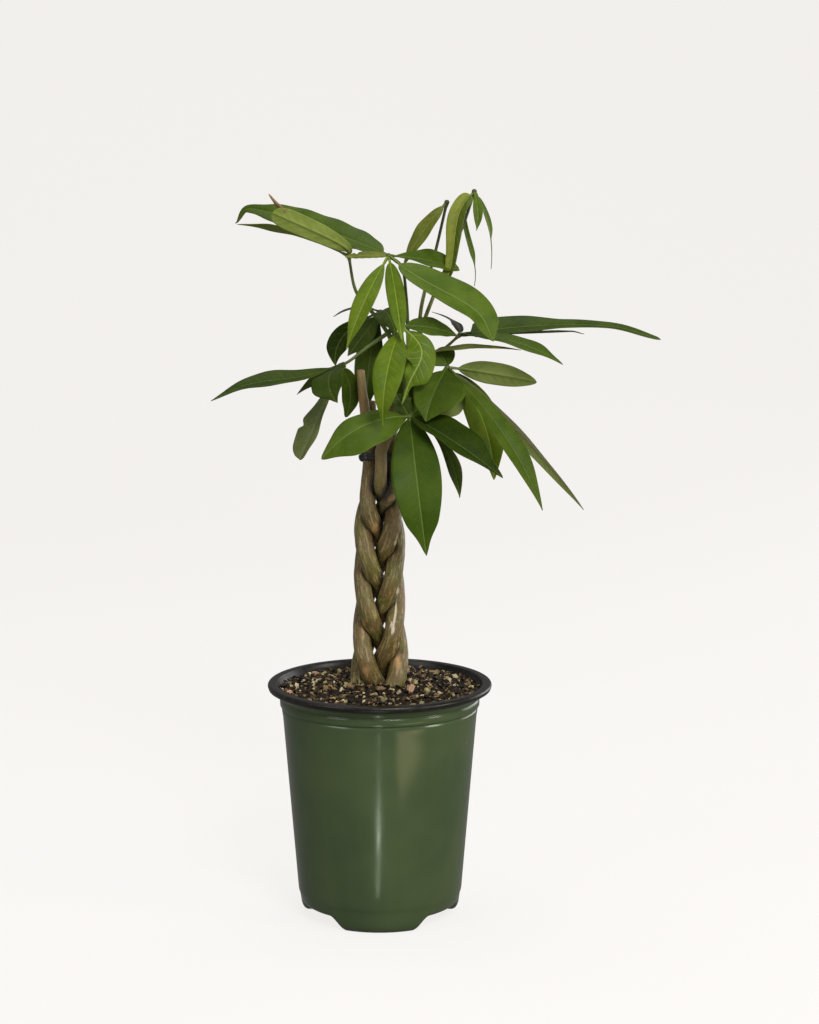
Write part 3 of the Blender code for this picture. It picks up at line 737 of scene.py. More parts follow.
def sweep(points, radii, sides, shape=None):
    """Points and faces of a closed tube along a route. shape(ring, angle) scales the radius."""
    points = np.asarray(points, float)
    tangents = np.gradient(points, axis=0)
    tangents /= np.linalg.norm(tangents, axis=1)[:, None]
    across = unit(np.cross(tangents[0], (0.0, 1.0, 0.2)))
    verts = []
    angles = np.arange(sides) * TAU / sides
    for ring, (point, tangent) in enumerate(zip(points, tangents)):
        across = unit(across - tangent * across.dot(tangent))
        other = np.cross(tangent, across)
        for angle in angles:
            radius = radii[ring] * (shape(ring, angle) if shape else 1.0)
            verts.append(point + radius * (math.cos(angle) * across + math.sin(angle) * other))
    faces = []
    top = (len(points) - 1) * sides
    for low in range(0, top, sides):
        faces += [(a, d, c, b) for a, b, c, d in band_faces(low, low + sides, sides)]
    start = len(verts)
    verts += [points[0], points[-1]]
    for side in range(sides):
        after = (side + 1) % sides
        faces.append((start, after, side))
        faces.append((start + 1, top + side, top + after))
    return verts, faces


# ---------------------------------------------------------------- pot


def inner_radius(height):
    """Inside of the pot's straight wall at this height."""
    share = (height - WALL_FOOT) / (WALL_TOP - WALL_FOOT)
    return WALL_FOOT_RADIUS + share * (WALL_TOP_RADIUS - WALL_FOOT_RADIUS) - WALL


def arc(centre, radius, start, end, steps):
    """Points of a (radius, height) profile on an arc, angles in degrees."""
    turns = [math.radians(start + (end - start) * i / steps) for i in range(steps + 1)]
    return [on_circle(radius, angle, centre) for angle in turns]


def pot_profile():
    """(radius, height) from the floor's middle, up the inside, over the lip and down the outside.
    The two numbers say where the green stretch starts and ends, and the rest is black."""
    inside = [(0.0, FLOOR_TOP), (PAD_RADIUS, FLOOR_TOP), (34.0, FLOOR_TOP), (54.0, FLOOR_TOP)]
    inside += [(inner_radius(WALL_FOOT) - 0.6, FLOOR_TOP + 5)]
    inside += [(inner_radius(height), height) for height in (24.0, 60.0, 100.0, 140.0, WALL_TOP)]
    inside += [(WALL_TOP_RADIUS - 0.6, 162.0), (WALL_TOP_RADIUS + 1.0, 168.0)]
    inside += [(RIM_INNER_RADIUS - 1.0, 171.0), (RIM_INNER_RADIUS - 0.2, 173.4)]
    lip = arc((RIM_INNER_RADIUS + 1.0, RIM_TOP - 1.0), 1.0, 170, 90, 4)
    lip += arc((RIM_RADIUS - 1.9, RIM_TOP - 1.9), 1.9, 90, -25, 8)
    lip += [(RIM_RADIUS - 0.7, RIM_TOP - 4.2), (RIM_RADIUS - 2.0, RIM_TOP - 4.9)]
    neck = [(79.2, 169.9), (77.2, 169.2), (75.7, 168.4), (74.9, 167.4), (74.4, 166.2)]
    collar = [(74.3, 165.5), (73.4, 165.1), (72.9, 164.5), (72.9, 164.0), (73.4, 163.6)]
    collar += [(73.6, 163.0), (73.6, 161.0), (73.5, 158.9), (73.2, 158.4), (72.3, 158.0)]
    collar += [(71.9, 157.4), (71.9, 156.9), (72.2, 156.5), (72.2, 155.0)]
    heights = (WALL_TOP, 140.0, 120.0, 100.0, 80.0, 60.0, 40.0, 26.0, WALL_FOOT)
    wall = [(inner_radius(height) + WALL, height) for height in heights]
    steps_in = [(0.3, 18.2), (0.9, 16.6), (1.2, 15.0), (1.7, 10.5), (2.2, 6.0), (3.2, 3.0), (4.4, 1.2)]
    foot = [(WALL_FOOT_RADIUS - step, height) for step, height in steps_in]
    foot += [(FOOT_RADIUS + 1.6, 0.2), (FOOT_RADIUS + 0.9, 0.0)]
    under = [(FOOT_RADIUS - 1.9, 0.0), (FOOT_RADIUS - 2.6, 0.6), (FOOT_RADIUS - 3.4, 4.5)]
    under += [(FOOT_RADIUS - 4.4, FLOOR_UNDERSIDE), (34.0, FLOOR_UNDERSIDE)]
    under += [(PAD_RADIUS + 2.0, FLOOR_UNDERSIDE), (PAD_RADIUS + 0.6, 0.8), (PAD_RADIUS, 0.0), (0.0, 0.0)]
    profile = inside + lip + neck + collar + wall + foot + under
    return profile, len(inside) + len(lip), len(profile) - len(under)


def notch_share(angle):
    """How far the foot ring is cut away at this angle, from 0 to 1."""
    spacing = TAU / NOTCH_COUNT
    offset = abs((angle + math.pi / 2) % spacing - spacing / 2)
    return 1.0 - float(smoothstep(NOTCH_HALF_ANGLE, NOTCH_HALF_ANGLE + NOTCH_SLOPE_ANGLE, offset))


def make_pot(green, black):
    profile, green_start, green_end = pot_profile()
    count = len(profile)
    verts = []
    for step in range(POT_STEPS):
        angle = TAU * step / POT_STEPS
        share = notch_share(angle)
        for radius, height in profile:
            if radius > FOOT_RADIUS - 4.0 and height < NOTCH_REACH:
                lift = share * NOTCH_HEIGHT * (1 - height / NOTCH_REACH)
                if height < FLOOR_UNDERSIDE + 3 or radius > inner_radius(WALL_FOOT):
                    height = height + lift
            verts.append((*on_circle(radius, angle), height))
    faces = []
    slots = []
    for step in range(POT_STEPS):
        after = (step + 1) % POT_STEPS
        for i in range(count - 1):
            first = step * count + i
            second = after * count + i
            if i == 0:
                faces.append((first, second + 1, first + 1))
            elif i == count - 2:
                faces.append((first, second, first + 1))
            else:
                faces.append((first, second, second + 1, first + 1))
            slots.append(0 if green_start <= i < green_end else 1)
    pot = build("pot_shell", verts, faces, [green, black], slots)
    mesh_clean(pot)
    place_piece(pot, "pot", "pot")


def mesh_clean(obj):
    """Joins points that share a place and turns the faces outwards."""
    shape = bmesh.new()
    shape.from_mesh(obj.data)
    bmesh.ops.remove_doubles(shape, verts=shape.verts, dist=0.000001)
    bmesh.ops.recalc_face_normals(shape, faces=shape.faces)
    shape.to_mesh(obj.data)
    shape.free()


# ---------------------------------------------------------------- braid


def braid_phase(height):
    if height < TWIST_SLOWS:
        return BRAID_START_PHASE + height / BRAID_PERIOD
    over = min(height, TWIST_ENDS) - TWIST_SLOWS
    slowed = over - over * over / (2 * (TWIST_ENDS - TWIST_SLOWS))
    return BRAID_START_PHASE + (TWIST_SLOWS + slowed) / BRAID_PERIOD


def bundle_place(strand):
    """Which row of STEM_TOPS and TIE_PLACES a strand comes to where the braid ends."""
    phase = (braid_phase(TWIST_ENDS) + strand / STRANDS) % 1.0
    x = math.cos(TAU * phase)
    in_front = math.sin(2 * TAU * phase) < 0
    if x < -0.95:
        return 0
    if x < 0:
        return 1 if in_front else 4
    return 2 if in_front else 3


def braid_point(strand, height):
    turns = TAU * (braid_phase(height) + strand / STRANDS)
    flare = FLARE * float(smoothstep(FLARE_TOP, FLARE_FOOT, height))
    x = (BRAID_HALF_WIDTH + flare) * math.cos(turns)
    y = BRAID_HALF_DEPTH * math.sin(2 * turns)
    held_x, held_y = TIE_PLACES[bundle_place(strand)]
    share = float(smoothstep(GATHER_STARTS, TIE_LOW, height))
    return np.array((x + share * (held_x - x), y + share * (held_y - y), height))


def stem_route(strand, top_points, end_radius):
    """Points and radii from the soil, through the braid and the tie, to the stem's blunt end."""
    heights = np.arange(STRAND_FOOT, TIE_HIGH + 2, STRAND_STEP)
    points = [braid_point(strand, height) for height in heights]
    upper = rounded([points[-1]] + top_points, 14)[1:]
    points += upper
    thinning = smoothstep(THINNING_STARTS, TIE_LOW, heights)
    foot = 1 - smoothstep(SOIL_MOUND, FLARE_TOP, heights)
    radii = STRAND_RADIUS + thinning * (STRAND_TOP_RADIUS - STRAND_RADIUS)
    radii = list(radii + foot * (STRAND_FOOT_RADIUS - STRAND_RADIUS))
    for i in range(len(upper)):
        share = (i + 1) / len(upper)
        radii.append(STRAND_TOP_RADIUS + share * (end_radius - STRAND_TOP_RADIUS))
    end = points[-1]
    onward = unit(end - points[-2])
    for reach, share in STEM_END:
        points.append(end + onward * reach)
        radii.append(end_radius * share)
    return np.array(points), radii


def bark_marks(name, spots):
    """Weights of the tan scars, of the pale flaking with painted highlights, and of the painted light on the
    front stem and the pale stump of the left one, at each point of a stem.
    """
    marks = np.zeros_like(spots)
    for column, places in enumerate((TAN_SCARS, PALE_AND_HIGHLIGHT_PATCHES)):
        for x, z, wide, high, weight in places:
            nearness = ((spots[:, 0] - x) / wide) ** 2 + ((spots[:, 2] - z) / high) ** 2
            marks[:, column] += weight * np.exp(-nearness) * (spots[:, 1] < 2)
    # Painted light: the front stem is lightened above this height.
    if name == "stem_front":
        marks[:, 2] = smoothstep(PAINTED_LIGHT_FROM, TIE_LOW, spots[:, 2])
    if name == "stem_left":
        marks[:, 2] = 1.6 * smoothstep(PALE_STUMP_FROM, PALE_STUMP_FROM + 14, spots[:, 2])
    return marks


def make_stem(strand, bark, scar):
    name, top_points, end_radius = STEM_TOPS[bundle_place(strand)]
    points, radii = stem_route(strand, top_points, end_radius)

    def bark_shape(ring, angle):
        height = points[ring][2]
        spot = Vector((*on_circle(0.9, angle), height * 0.055 + strand * 9))
        fine = Vector((*on_circle(2.2, angle), height * 0.22 + strand * 5))
        return 1.0 + BARK_LUMPS * noise.noise(spot) + BARK_GRAIN * noise.noise(fine)

    verts, faces = sweep(points, radii, STRAND_SIDES, bark_shape)
    slots = np.zeros(len(faces), int)
    slots[-1 : -2 * STRAND_SIDES : -2] = 1
    slots[-4 * STRAND_SIDES : -2 * STRAND_SIDES] = 1
    stem = build(name.replace("stem", "trunk"), verts, faces, [bark, scar], slots)
    lengths = lengths_along(points) + STRAND_PATTERN_STEP * strand
    around = []
    for length in lengths:
        for side in range(STRAND_SIDES):
            around.append((*on_circle(radii[0], TAU * side / STRAND_SIDES), length))
    around += [(0, 0, lengths[0]), (0, 0, lengths[-1])]
    add_attribute(stem, "strand", np.array(around) * MM)
    spots = np.array(verts)
    add_attribute(stem, "marks", bark_marks(name, spots))
    others = [other for other in range(STRANDS) if other != strand]
    gaps = np.full(len(spots), 100.0)
    for row, spot in enumerate(spots):
        if spot[2] < TIE_HIGH:
            gaps[row] = min(math.dist(spot, braid_point(other, spot[2])) for other in others)
    # Painted shade: how near another stem each point lies, which darkens the bark there.
    painted_shade = 1.0 - smoothstep(STRAND_RADIUS, STRAND_RADIUS + CREVICE_SHADE_REACH, gaps)
    add_attribute(stem, "crevice_shade", painted_shade, "FLOAT", "value")
    place_piece(stem, "bark", name)


def ring_outline(centres, radius, steps=10):
    """The outline of a band stretched round circles, given in anticlockwise order."""
    outline = []
    for i, centre in enumerate(centres):
        before = centres[i - 1]
        after = centres[(i + 1) % len(centres)]
        start = math.atan2(centre[1] - before[1], centre[0] - before[0]) - math.pi / 2
        end = math.atan2(after[1] - centre[1], after[0] - centre[0]) - math.pi / 2
        while end < start:
            end += TAU
        for j in range(steps + 1):
            outline.append(on_circle(radius, start + (end - start) * j / steps, centre))
    return outline


def make_tie(material):
    """A black band in two turns round four of the stems, with a knot at the left."""
    places = {bundle_place(strand): strand for strand in range(STRANDS)}
    centres = [braid_point(places[place], TIE_HIGH) for place in (0, 2, 3, 4)]
    outline = np.array(ring_outline(centres, STRAND_TOP_RADIUS + 0.9))
    count = len(outline)
    verts = []
    faces = []
    for turn, height in enumerate((TIE_LOW + 1.7, TIE_HIGH - 1.7)):
        first = len(verts)
        for i in range(count):
            along = unit(outline[(i + 1) % count] - outline[i - 1])
            out = np.array((along[1], -along[0]))
            wave = TIE_WAVE * math.sin(TAU * (i / count + 0.37 * turn))
            for side in range(TIE_SIDES):
                angle = TAU * side / TIE_SIDES
                rise = TIE_HALF_HEIGHT * math.sin(angle)
                x, y = outline[i] + out * TIE_HALF_THICKNESS * math.cos(angle)
                verts.append((x, y, height + rise + wave))
            low = first + i * TIE_SIDES
            high = first + (i + 1) % count * TIE_SIDES
            faces += band_faces(low, high, TIE_SIDES)
    band = build("tie", verts, faces, [material])
    mesh_clean(band)
    place_piece(band, "tie", "tie_band")
    x, y = outline[np.argmin(outline[:, 0])]
    offsets = [(0.6, 0.5, -0.6), (-0.4, -1.0, 0.9), (-0.9, -0.4, 2.6), (0.4, -1.4, 3.6)]
    route = rounded([(x + dx, y + dy, TIE_LOW + dz) for dx, dy, dz in offsets], 8)
    verts, faces = sweep(route, [1.0] * 4 + [1.35] * (len(route) - 8) + [0.9] * 4, 12)
    place_piece(build("tie_knot", verts, faces, [material]), "tie")


# ---------------------------------------------------------------- leaves


def leaf_width(share, peak, power):
    """Width of a leaflet as a share of its greatest width, which it has at peak."""
    share = np.clip(share, 0.0, 1.0)
    return np.sin(np.pi * share ** (math.log(0.5) / math.log(peak))).clip(0.0) ** power


def midrib(hub, tip, bow, looks):
    """How far along each row of a leaflet is, from 0 to 1, and its middle point."""
    hub, tip, bow = (np.asarray(point, float) for point in (hub, tip, bow))
    base = hub + unit(tip - hub + 4 * bow) * LEAFLET_START
    s = np.linspace(0, 1, LEAF_ROWS + 1) ** 1.05
    centre = base + np.outer(s, tip - base) + np.outer(4 * s * (1 - s), bow)
    centre += np.outer(np.sin(TAU * s), looks["sway"])
    centre += np.outer(smoothstep(looks["hook_from"], 1.0, s) ** 1.3, looks["hook"])
    return s, centre


def half_widths(s, width, peak, looks):
    stalk = looks["stalk"]
    outline = leaf_width((s - stalk) / (1 - stalk), peak, looks["round"])
    narrowing, start, end = looks["drip"]
    outline = outline * (1 - narrowing * smoothstep(start, end, s))
    narrow = LEAF_BASE_WIDTH + (LEAF_TIP_WIDTH - LEAF_BASE_WIDTH) * smoothstep(0.0, 0.9, s)
    return np.maximum(narrow, width * outline) / 2


def cross_section(across, s, half, looks):
    """Place of each point across the blade: sideways and up, in mm. The slope is summed from the
    midrib outwards, so that a rolled edge keeps its width."""
    middle = len(across) // 2
    flat = np.zeros((len(s), len(across)))
    rise = np.zeros_like(flat)
    for direction in (1, -1):
        column = middle
        while 0 <= column + direction < len(across):
            here = across[column]
            there = across[column + direction]
            mean = (abs(here) + abs(there)) / 2
            slope = np.arctan(looks["cup"] * (1.6 - 1.2 * mean)) * np.ones(len(s))
            if looks["curl"] and looks["curl"][0] == direction:
                start, degrees, low, high = looks["curl"][1:]
                window = smoothstep(low, low + 0.15, s) * (1 - smoothstep(high - 0.15, high, s))
                slope = slope + math.radians(degrees) * float(smoothstep(start, start + 0.35, mean)) * window
            step = abs(there - here) * half
            flat[:, column + direction] = flat[:, column] + direction * step * np.cos(slope)
            rise[:, column + direction] = rise[:, column] + step * np.sin(slope)
            column += direction
    flat *= np.where(across > 0, *looks["lop"])
    if looks["nick"]:
        nicked, place, depth = looks["nick"]
        dent = 1 - depth * np.exp(-(((s - place) / 0.035) ** 2))
        flat *= np.where(across * nicked > 0, dent[:, None], 1.0)
    return flat, rise


def blade_faces(rows, columns):
    """Faces of a closed blade: upper sheet, lower sheet and the edge between them."""
    count = rows * columns
    faces = []
    slots = []
    for r in range(rows - 1):
        for c in range(columns - 1):
            a = r * columns + c
            b = a + 1
            d = a + columns
            e = d + 1
            faces += [(a, b, e, d), (count + a, count + d, count + e, count + b)]
            slots += [0, 1]
    last = columns - 1
    top = (rows - 1) * columns
    edge = [(r * columns, (r + 1) * columns) for r in range(rows - 1)]
    edge += [((r + 1) * columns + last, r * columns + last) for r in range(rows - 1)]
    edge += [(c + 1, c) for c in range(last)]
    edge += [(top + c, top + c + 1) for c in range(last)]
    faces += [(first, second, count + second, count + first) for first, second in edge]
    return faces, slots + [0] * len(edge)


def make_leaflet(name, hub, tip, bow, width, face, peak, looks, materials):
    s, centre = midrib(hub, tip, bow, looks)
    tangent = unit(np.gradient(centre, axis=0))
    faces_way = np.outer(1 - s, face) + np.outer(s, looks["turn"] or face)
    normal = unit(faces_way - tangent * (faces_way * tangent).sum(1)[:, None])
    side = np.cross(tangent, normal)
    half = half_widths(s, width, peak, looks)
    across = np.array([-a for a in LEAF_COLUMNS[:0:-1]] + LEAF_COLUMNS)
    spread = np.abs(across)
    from_rib = spread * half[:, None]
    along = s[:, None] * np.ones(len(across))
    phase = (along * lengths_along(centre)[-1] - VEIN_SLANT * from_rib) / VEIN_SPACING
    flat, rise = cross_section(across, s, half, looks)
    seed = sum(ord(letter) for letter in name) * 1.7
    ripple = looks["ripple"] * half[:, None] * spread**2
    rise = rise + ripple * np.sin(TAU * looks["waves"] * along + np.where(across > 0, seed, seed + 2.1))
    window = np.clip(half[:, None] / 6.0, 0, 1) * np.clip(spread * 5, 0, 1) * (1 - spread**3)
    rise = rise + VEIN_RELIEF * window * (0.5 - 0.5 * np.cos(TAU * phase))
    groove = np.exp(-((from_rib / MIDRIB_HALF_WIDTH) ** 2))
    stem = 1 - smoothstep(0.4 * looks["stalk"], looks["stalk"] + 0.03, s)
    thick = LEAF_THICKNESS / 2 + LEAF_STALK_SWELLING * stem
    upper_lift = rise + thick[:, None] - MIDRIB_GROOVE * groove * (1 - stem)[:, None]
    lower_lift = rise - thick[:, None] - groove * (MIDRIB_RIDGE * (1 - s) ** 0.8 + 0.08)[:, None]
    middle = (upper_lift + lower_lift) / 2
    taper = np.where(spread > 0.97, 0.4, 1.0)
    sheet = centre[:, None, :] + side[:, None, :] * flat[:, :, None]
    verts = []
    for lift in (upper_lift, lower_lift):
        lift = middle + (lift - middle) * taper
        verts += (sheet + normal[:, None, :] * lift[:, :, None]).reshape(-1, 3).tolist()
    faces, slots = blade_faces(*flat.shape)
    obj = build("blade_" + name, verts, faces, materials, slots)
    blade = (along, across * np.ones_like(along), phase)
    margins = (from_rib, half[:, None] - from_rib, np.full_like(along, looks["veins"]))
    for attribute, values in (("blade", blade), ("margins", margins)):
        one_side = np.stack(values, -1).reshape(-1, 3)
        add_attribute(obj, attribute, np.concatenate([one_side, one_side]))
    nodes = [] if name in SMALL_LEAFLETS else ["leaflet_" + name]
    place_piece(obj, "leaf", *nodes)


def make_dry_tip(material):
    """The brown, curled end of leaflet b1."""
    route = rounded(DRY_TIP, 8)
    places = np.linspace(0, len(DRY_TIP) - 1, len(route))
    radii = np.interp(places, range(len(DRY_TIP)), DRY_TIP_SIZES)
    verts, faces = sweep(route, radii, 14, lambda ring, angle: 0.65 + 0.35 * math.cos(2 * angle + ring / 9))
    place_piece(build("dry_tip_b1", verts, faces, [material]), "leaf")


def make_petiole(leaf, route, material):
    """A leaf stalk, swollen at its foot and under the knob that carries the leaflets."""
    points = np.array(rounded(route, 16))
    end = points[-1]
    onward = unit(end - points[-2])
    lengths = lengths_along(points)
    total = lengths[-1]
    foot = PETIOLE_FOOT * np.exp(-((lengths / 4.0) ** 2))
    neck = PETIOLE_NECK * np.exp(-(((total - lengths) / 2.6) ** 2))
    taper = PETIOLE_RADIUS + (PETIOLE_TOP_RADIUS - PETIOLE_RADIUS) * smoothstep(0.1, 0.9, lengths / total)
    radii = list(taper * (1.0 + foot) + neck) + [radius for _, radius in KNOB]
    points = list(points) + [end + onward * reach for reach, _ in KNOB]
    verts, faces = sweep(points, radii, 16)
    place_piece(build("stalk_" + leaf, verts, faces, [material]), "petiole", "petiole_" + leaf)


# ---------------------------------------------------------------- soil


def soil_height(radius):
    return SOIL_EDGE + (SOIL_MOUND - SOIL_EDGE) * math.cos(radius / SOIL_RADIUS * math.pi / 2)


def make_soil(material):
    """The rough top of the potting mix, over a plain body that reaches down into the pot."""
    turns = [TAU * spoke / SOIL_SPOKES for spoke in range(SOIL_SPOKES)]
    verts = []
    for ring in range(1, SOIL_RINGS + 1):
        radius = SOIL_RADIUS * ring / SOIL_RINGS
        for angle in turns:
            x, y = on_circle(radius, angle)
            lumps = SOIL_LUMPS[0] * noise.noise(Vector((x, y, 0)) * SOIL_LUMPS[1])
            crumbs = SOIL_CRUMBS[0] * noise.noise(Vector((x, y, 5)) * SOIL_CRUMBS[1])
            verts.append((x, y, soil_height(radius) - SOIL_SINK + (lumps + crumbs)))
    lower = [(inner_radius(height) - 0.4, height) for height in (WALL_TOP, 24.0)]
    lower.append((54.0, SOIL_BOTTOM))
    for radius, height in lower:
        verts += [(*on_circle(radius, angle), height) for angle in turns]
    last = len(verts) - SOIL_SPOKES
    faces = []
    for first in range(0, last, SOIL_SPOKES):
        faces += band_faces(first, first + SOIL_SPOKES, SOIL_SPOKES)
    middle = len(verts)
    verts += [(0, 0, SOIL_MOUND - SOIL_SINK), (0, 0, SOIL_BOTTOM)]
    for spoke in range(SOIL_SPOKES):
        after = (spoke + 1) % SOIL_SPOKES
        faces += [(middle, spoke, after), (middle + 1, last + after, last + spoke)]
    place_piece(build("potting_mix", verts, faces, [material]), "soil", "soil")


# Each kind: (how many, least and greatest size, length and thickness to width), then its colours.
CHIP_KINDS = {
    "dark_bark": (
        (1500, 1.0, 3.8, 1.8, 0.5),
        [(0.018, 0.012, 0.007), (0.034, 0.023, 0.012), (0.009, 0.007, 0.005)],
    ),
    "brown_bark": (
        (480, 1.2, 4.0, 1.9, 0.45),
        [(0.115, 0.072, 0.028), (0.07, 0.044, 0.02), (0.17, 0.115, 0.048)],
    ),
    "tan_bits": (
        (430, 1.0, 3.6, 1.5, 0.6),
        [(0.33, 0.23, 0.11), (0.25, 0.17, 0.085), (0.42, 0.31, 0.15)],
    ),
    "pale_grains": (
        (130, 1.4, 4.6, 1.2, 0.85),
        [(0.56, 0.46, 0.26), (0.62, 0.54, 0.34), (0.4, 0.34, 0.17)],
    ),
    "chunks": (
        (22, 4.2, 6.4, 1.25, 0.8),
        [(0.5, 0.32, 0.22), (0.36, 0.33, 0.17), (0.3, 0.2, 0.1)],
    ),
    "white_grains": ((60, 0.8, 2.0, 1.1, 0.9), [(0.8, 0.77, 0.68)]),
}
# Corners of a lump, before each is moved a little at random.
CHIP_SHAPE = [(-1, 0, 0), (1, 0, 0), (0, -1, 0), (0, 1, 0), (0, 0, -1), (0, 0, 1)]
CHIP_SHAPE += [(0.6, 0.6, 0.5), (-0.6, 0.6, -0.5), (0.6, -0.6, -0.5), (-0.6, -0.6, 0.5)]
CHIP_SHAPE += [(0.6, 0.6, -0.5), (-0.6, -0.6, -0.5)]


def hull_faces(points):
    """The convex hull of a few points: its own points, and its faces as triples of their numbers."""
    shape = bmesh.new()
    verts = [shape.verts.new(point) for point in points]
    bmesh.ops.convex_hull(shape, input=verts)
    shape.verts.ensure_lookup_table()
    loose = [vert for vert in shape.verts if not vert.link_faces]
    bmesh.ops.delete(shape, geom=loose, context="VERTS")
    bmesh.ops.recalc_face_normals(shape, faces=shape.faces)
    shape.verts.index_update()
    made = [tuple(vert.co) for vert in shape.verts]
    faces = [tuple(vert.index for vert in face.verts) for face in shape.faces]
    shape.free()
    return made, faces


def make_chips(material):
    """Bits of bark, pumice and perlite strewn over the soil, each an angular lump of its own."""
    rng = random.Random(SEED)
    stems = [braid_point(strand, SOIL_MOUND) for strand in range(STRANDS)]
    for kind, ((count, least, most, long, flat), colours) in CHIP_KINDS.items():
        verts = []
        faces = []
        tints = []
        for _ in range(count):
            while True:
                radius = (SOIL_RADIUS - 0.4) * math.sqrt(rng.random())
                x, y = on_circle(radius, rng.random() * TAU)
                if all(math.hypot(x - stem[0], y - stem[1]) > CHIP_CLEARANCE for stem in stems):
                    break
            size = least + (most - least) * rng.random() ** 2.0
            jitter = []
            for corner in CHIP_SHAPE:
                jitter.append([c + rng.uniform(-CHIP_JITTER, CHIP_JITTER) for c in corner])
            width = size / 2
            scaled = [(px * width * long, py * width, pz * width * flat) for px, py, pz in jitter]
            points, made = hull_faces(scaled)
            spin = rng.random() * TAU
            tilt = rng.gauss(0, CHIP_TILT)
            roll = rng.gauss(0, CHIP_TILT)
            lift = soil_height(radius) - 0.5 + rng.uniform(-0.3, 1.0) + 0.15 * size
            start = len(verts)
            for point in points:
                spot = Vector(point)
                spot.rotate(Euler((tilt, roll, spin)))
                verts.append((spot.x + x, spot.y + y, spot.z + lift))
            faces += [tuple(start + i for i in face) for face in made]
            colour = rng.choice(colours)
            shade = rng.uniform(0.7, 1.25)
            tints += [(*(min(c * shade, 1.0) for c in colour), 1.0)] * len(points)
        obj = build(kind, verts, faces, [material], smooth=False)
        add_attribute(obj, "tint", tints, "FLOAT_COLOR", "color")
        place_piece(obj, "soil")


# ---------------------------------------------------------------- studio

# Camera: where it stands, in metres, and how far it looks down, in degrees.
CAMERA_PLACE = (0.02193, -2.0, 0.63536)
CAMERA_TILT = 9.4698
CAMERA_LENS = 97.69

# Floor: it runs level to where it bends up into the backdrop, in metres.
FLOOR_HALF_WIDTH = 7.0
FLOOR_DEPTH = 3.2
FLOOR_BEND = 1.6
BACKDROP_TOP = 6.0
FLOOR_GLOW = 0.83
WORLD_GLOW = 0.22

# Each light: place, size, power and colour. A light on the floor, in front of the pot, faces up
# and shows as a reflection in its wall. The others face the middle of the plant.
ON_FLOOR = 0.002
LIT_POINT = (0.0, 0.0, 0.3)
LIGHTS = {
    "key": ((0.55, -1.75, 1.55), (0.7, 0.7), 34.0, (1, 1, 1)),
    "left_fill": ((-1.5, -1.3, 0.9), (0.8, 1.0), 10.0, (1, 1, 1)),
    "right_fill": ((1.7, -0.8, 0.6), (0.5, 0.8), 15.0, (1, 0.97, 0.88)),
    "top": ((-0.2, 0.3, 2.0), (1.0, 1.0), 12.0, (1, 1, 1)),
    "streak": ((-0.004, -0.255, ON_FLOOR), (0.004, 0.27), 0.034, (0.88, 1, 0.82)),
    "streak_middle": ((-0.004, -0.236, ON_FLOOR), (0.004, 0.08), 0.045, (0.88, 1, 0.82)),
    "window": ((0.25, -0.33, ON_FLOOR), (0.26, 0.12), 0.26, (1, 0.84, 0.48)),
    "back_right": ((1.5, 1.3, 0.45), (1.4, 1.0), 12.0, (1, 1, 1)),
}


def make_floor():
    """A pale floor that curves up into a backdrop. It glows, and lights nothing."""
    n = Nodes("studio_pale")
    n.feed(n.shader, "Emission Color", (1.0, 0.975, 0.955))
    n.feed(n.shader, "Emission Strength", FLOOR_GLOW)
    n.colour = (0.12, 0.119, 0.118)
    material = n.finish(0.9, None, 0.1)
    level = FLOOR_DEPTH - FLOOR_BEND
    profile = [(-4.0, 0.0), (-1.5, 0.0), (0.5, 0.0), (level, 0.0)]
    for turn in np.linspace(0.1, 1.57, 14):
        profile.append((level + FLOOR_BEND * math.sin(turn), FLOOR_BEND * (1 - math.cos(turn))))
    profile.append((FLOOR_DEPTH, BACKDROP_TOP))
    verts = [(x / MM, y / MM, z / MM) for y, z in profile for x in (-FLOOR_HALF_WIDTH, FLOOR_HALF_WIDTH)]
    faces = [(2 * i, 2 * i + 1, 2 * i + 3, 2 * i + 2) for i in range(len(profile) - 1)]
    floor = build("studio_floor", verts, faces, [material])
    floor.visible_diffuse = False
    floor.visible_glossy = False


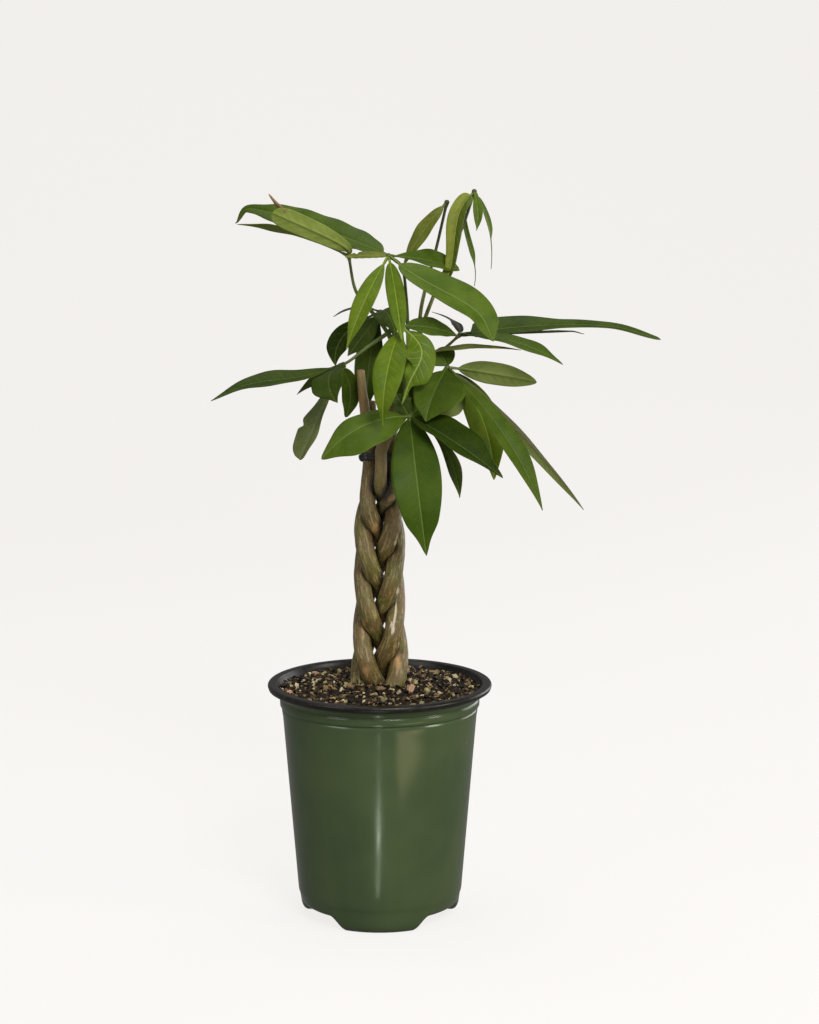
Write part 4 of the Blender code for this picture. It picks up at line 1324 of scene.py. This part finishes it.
def make_lights():
    world = bpy.data.worlds.new("studio_world")
    bpy.context.scene.world = world
    world.use_nodes = True
    background = world.node_tree.nodes["Background"]
    background.inputs["Color"].default_value = (1.0, 0.99, 0.98, 1.0)
    background.inputs["Strength"].default_value = WORLD_GLOW
    for name, (place, size, power, colour) in LIGHTS.items():
        data = bpy.data.lights.new(name, "AREA")
        data.shape = "RECTANGLE"
        data.size, data.size_y = size
        data.energy = power
        data.color = colour
        lamp = bpy.data.objects.new(name, data)
        bpy.context.scene.collection.objects.link(lamp)
        lamp.location = place
        lamp.visible_camera = False
        target = (*place[:2], 1.0) if place[2] == ON_FLOOR else LIT_POINT
        lamp.rotation_euler = (Vector(target) - Vector(place)).to_track_quat("-Z", "Y").to_euler()


def make_camera():
    data = bpy.data.cameras.new("camera")
    data.sensor_width = 36.0
    data.lens = CAMERA_LENS
    data.clip_end = 50.0
    camera = bpy.data.objects.new("camera", data)
    bpy.context.scene.collection.objects.link(camera)
    camera.location = CAMERA_PLACE
    camera.rotation_euler = (math.radians(90 - CAMERA_TILT), 0.0, 0.0)
    bpy.context.scene.camera = camera
    bpy.context.scene.view_settings.view_transform = "Standard"


def make_leaves():
    """Each stalk with its leaflets. Colours turn from the first to the second at a height in metres."""
    green = petiole_material("stalk_green", (0.07, 0.11, 0.02), (0.06, 0.085, 0.02), 0.47)
    tall = petiole_material("stalk_olive", (0.23, 0.24, 0.08), (0.03, 0.038, 0.014), 0.485)
    pale = petiole_material("stalk_pale", (0.085, 0.125, 0.028), (0.085, 0.125, 0.028), 0.6)
    stalk_colours = {"c": tall, "d": tall, "e": tall, "j": pale}
    blades = blade_materials()
    for leaf, route in STALKS.items():
        make_petiole(leaf, route, stalk_colours.get(leaf, green))
        for name, leaflet in LEAFLETS.items():
            if name.startswith(leaf):
                looks = {**PLAIN, **LOOKS.get(name, {})}
                make_leaflet(name, route[-1], *leaflet, looks, blades[looks["tone"]])
    make_dry_tip(dead_tip_material())


def main():
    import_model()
    make_pot(pot_material(), lip_material())
    make_soil(soil_material())
    make_chips(chip_material())
    scar = cut_material()
    olive = bark_material("bark_olive", (0.118, 0.104, 0.018), (0.13, 0.084, 0.024))
    brown = bark_material("bark_brown", (0.12, 0.088, 0.02), (0.155, 0.1, 0.034))
    for strand in range(STRANDS):
        make_stem(strand, (olive, brown)[strand % 2], scar)
    make_tie(tie_material())
    make_leaves()
    make_floor()
    make_lights()
    make_camera()


main()
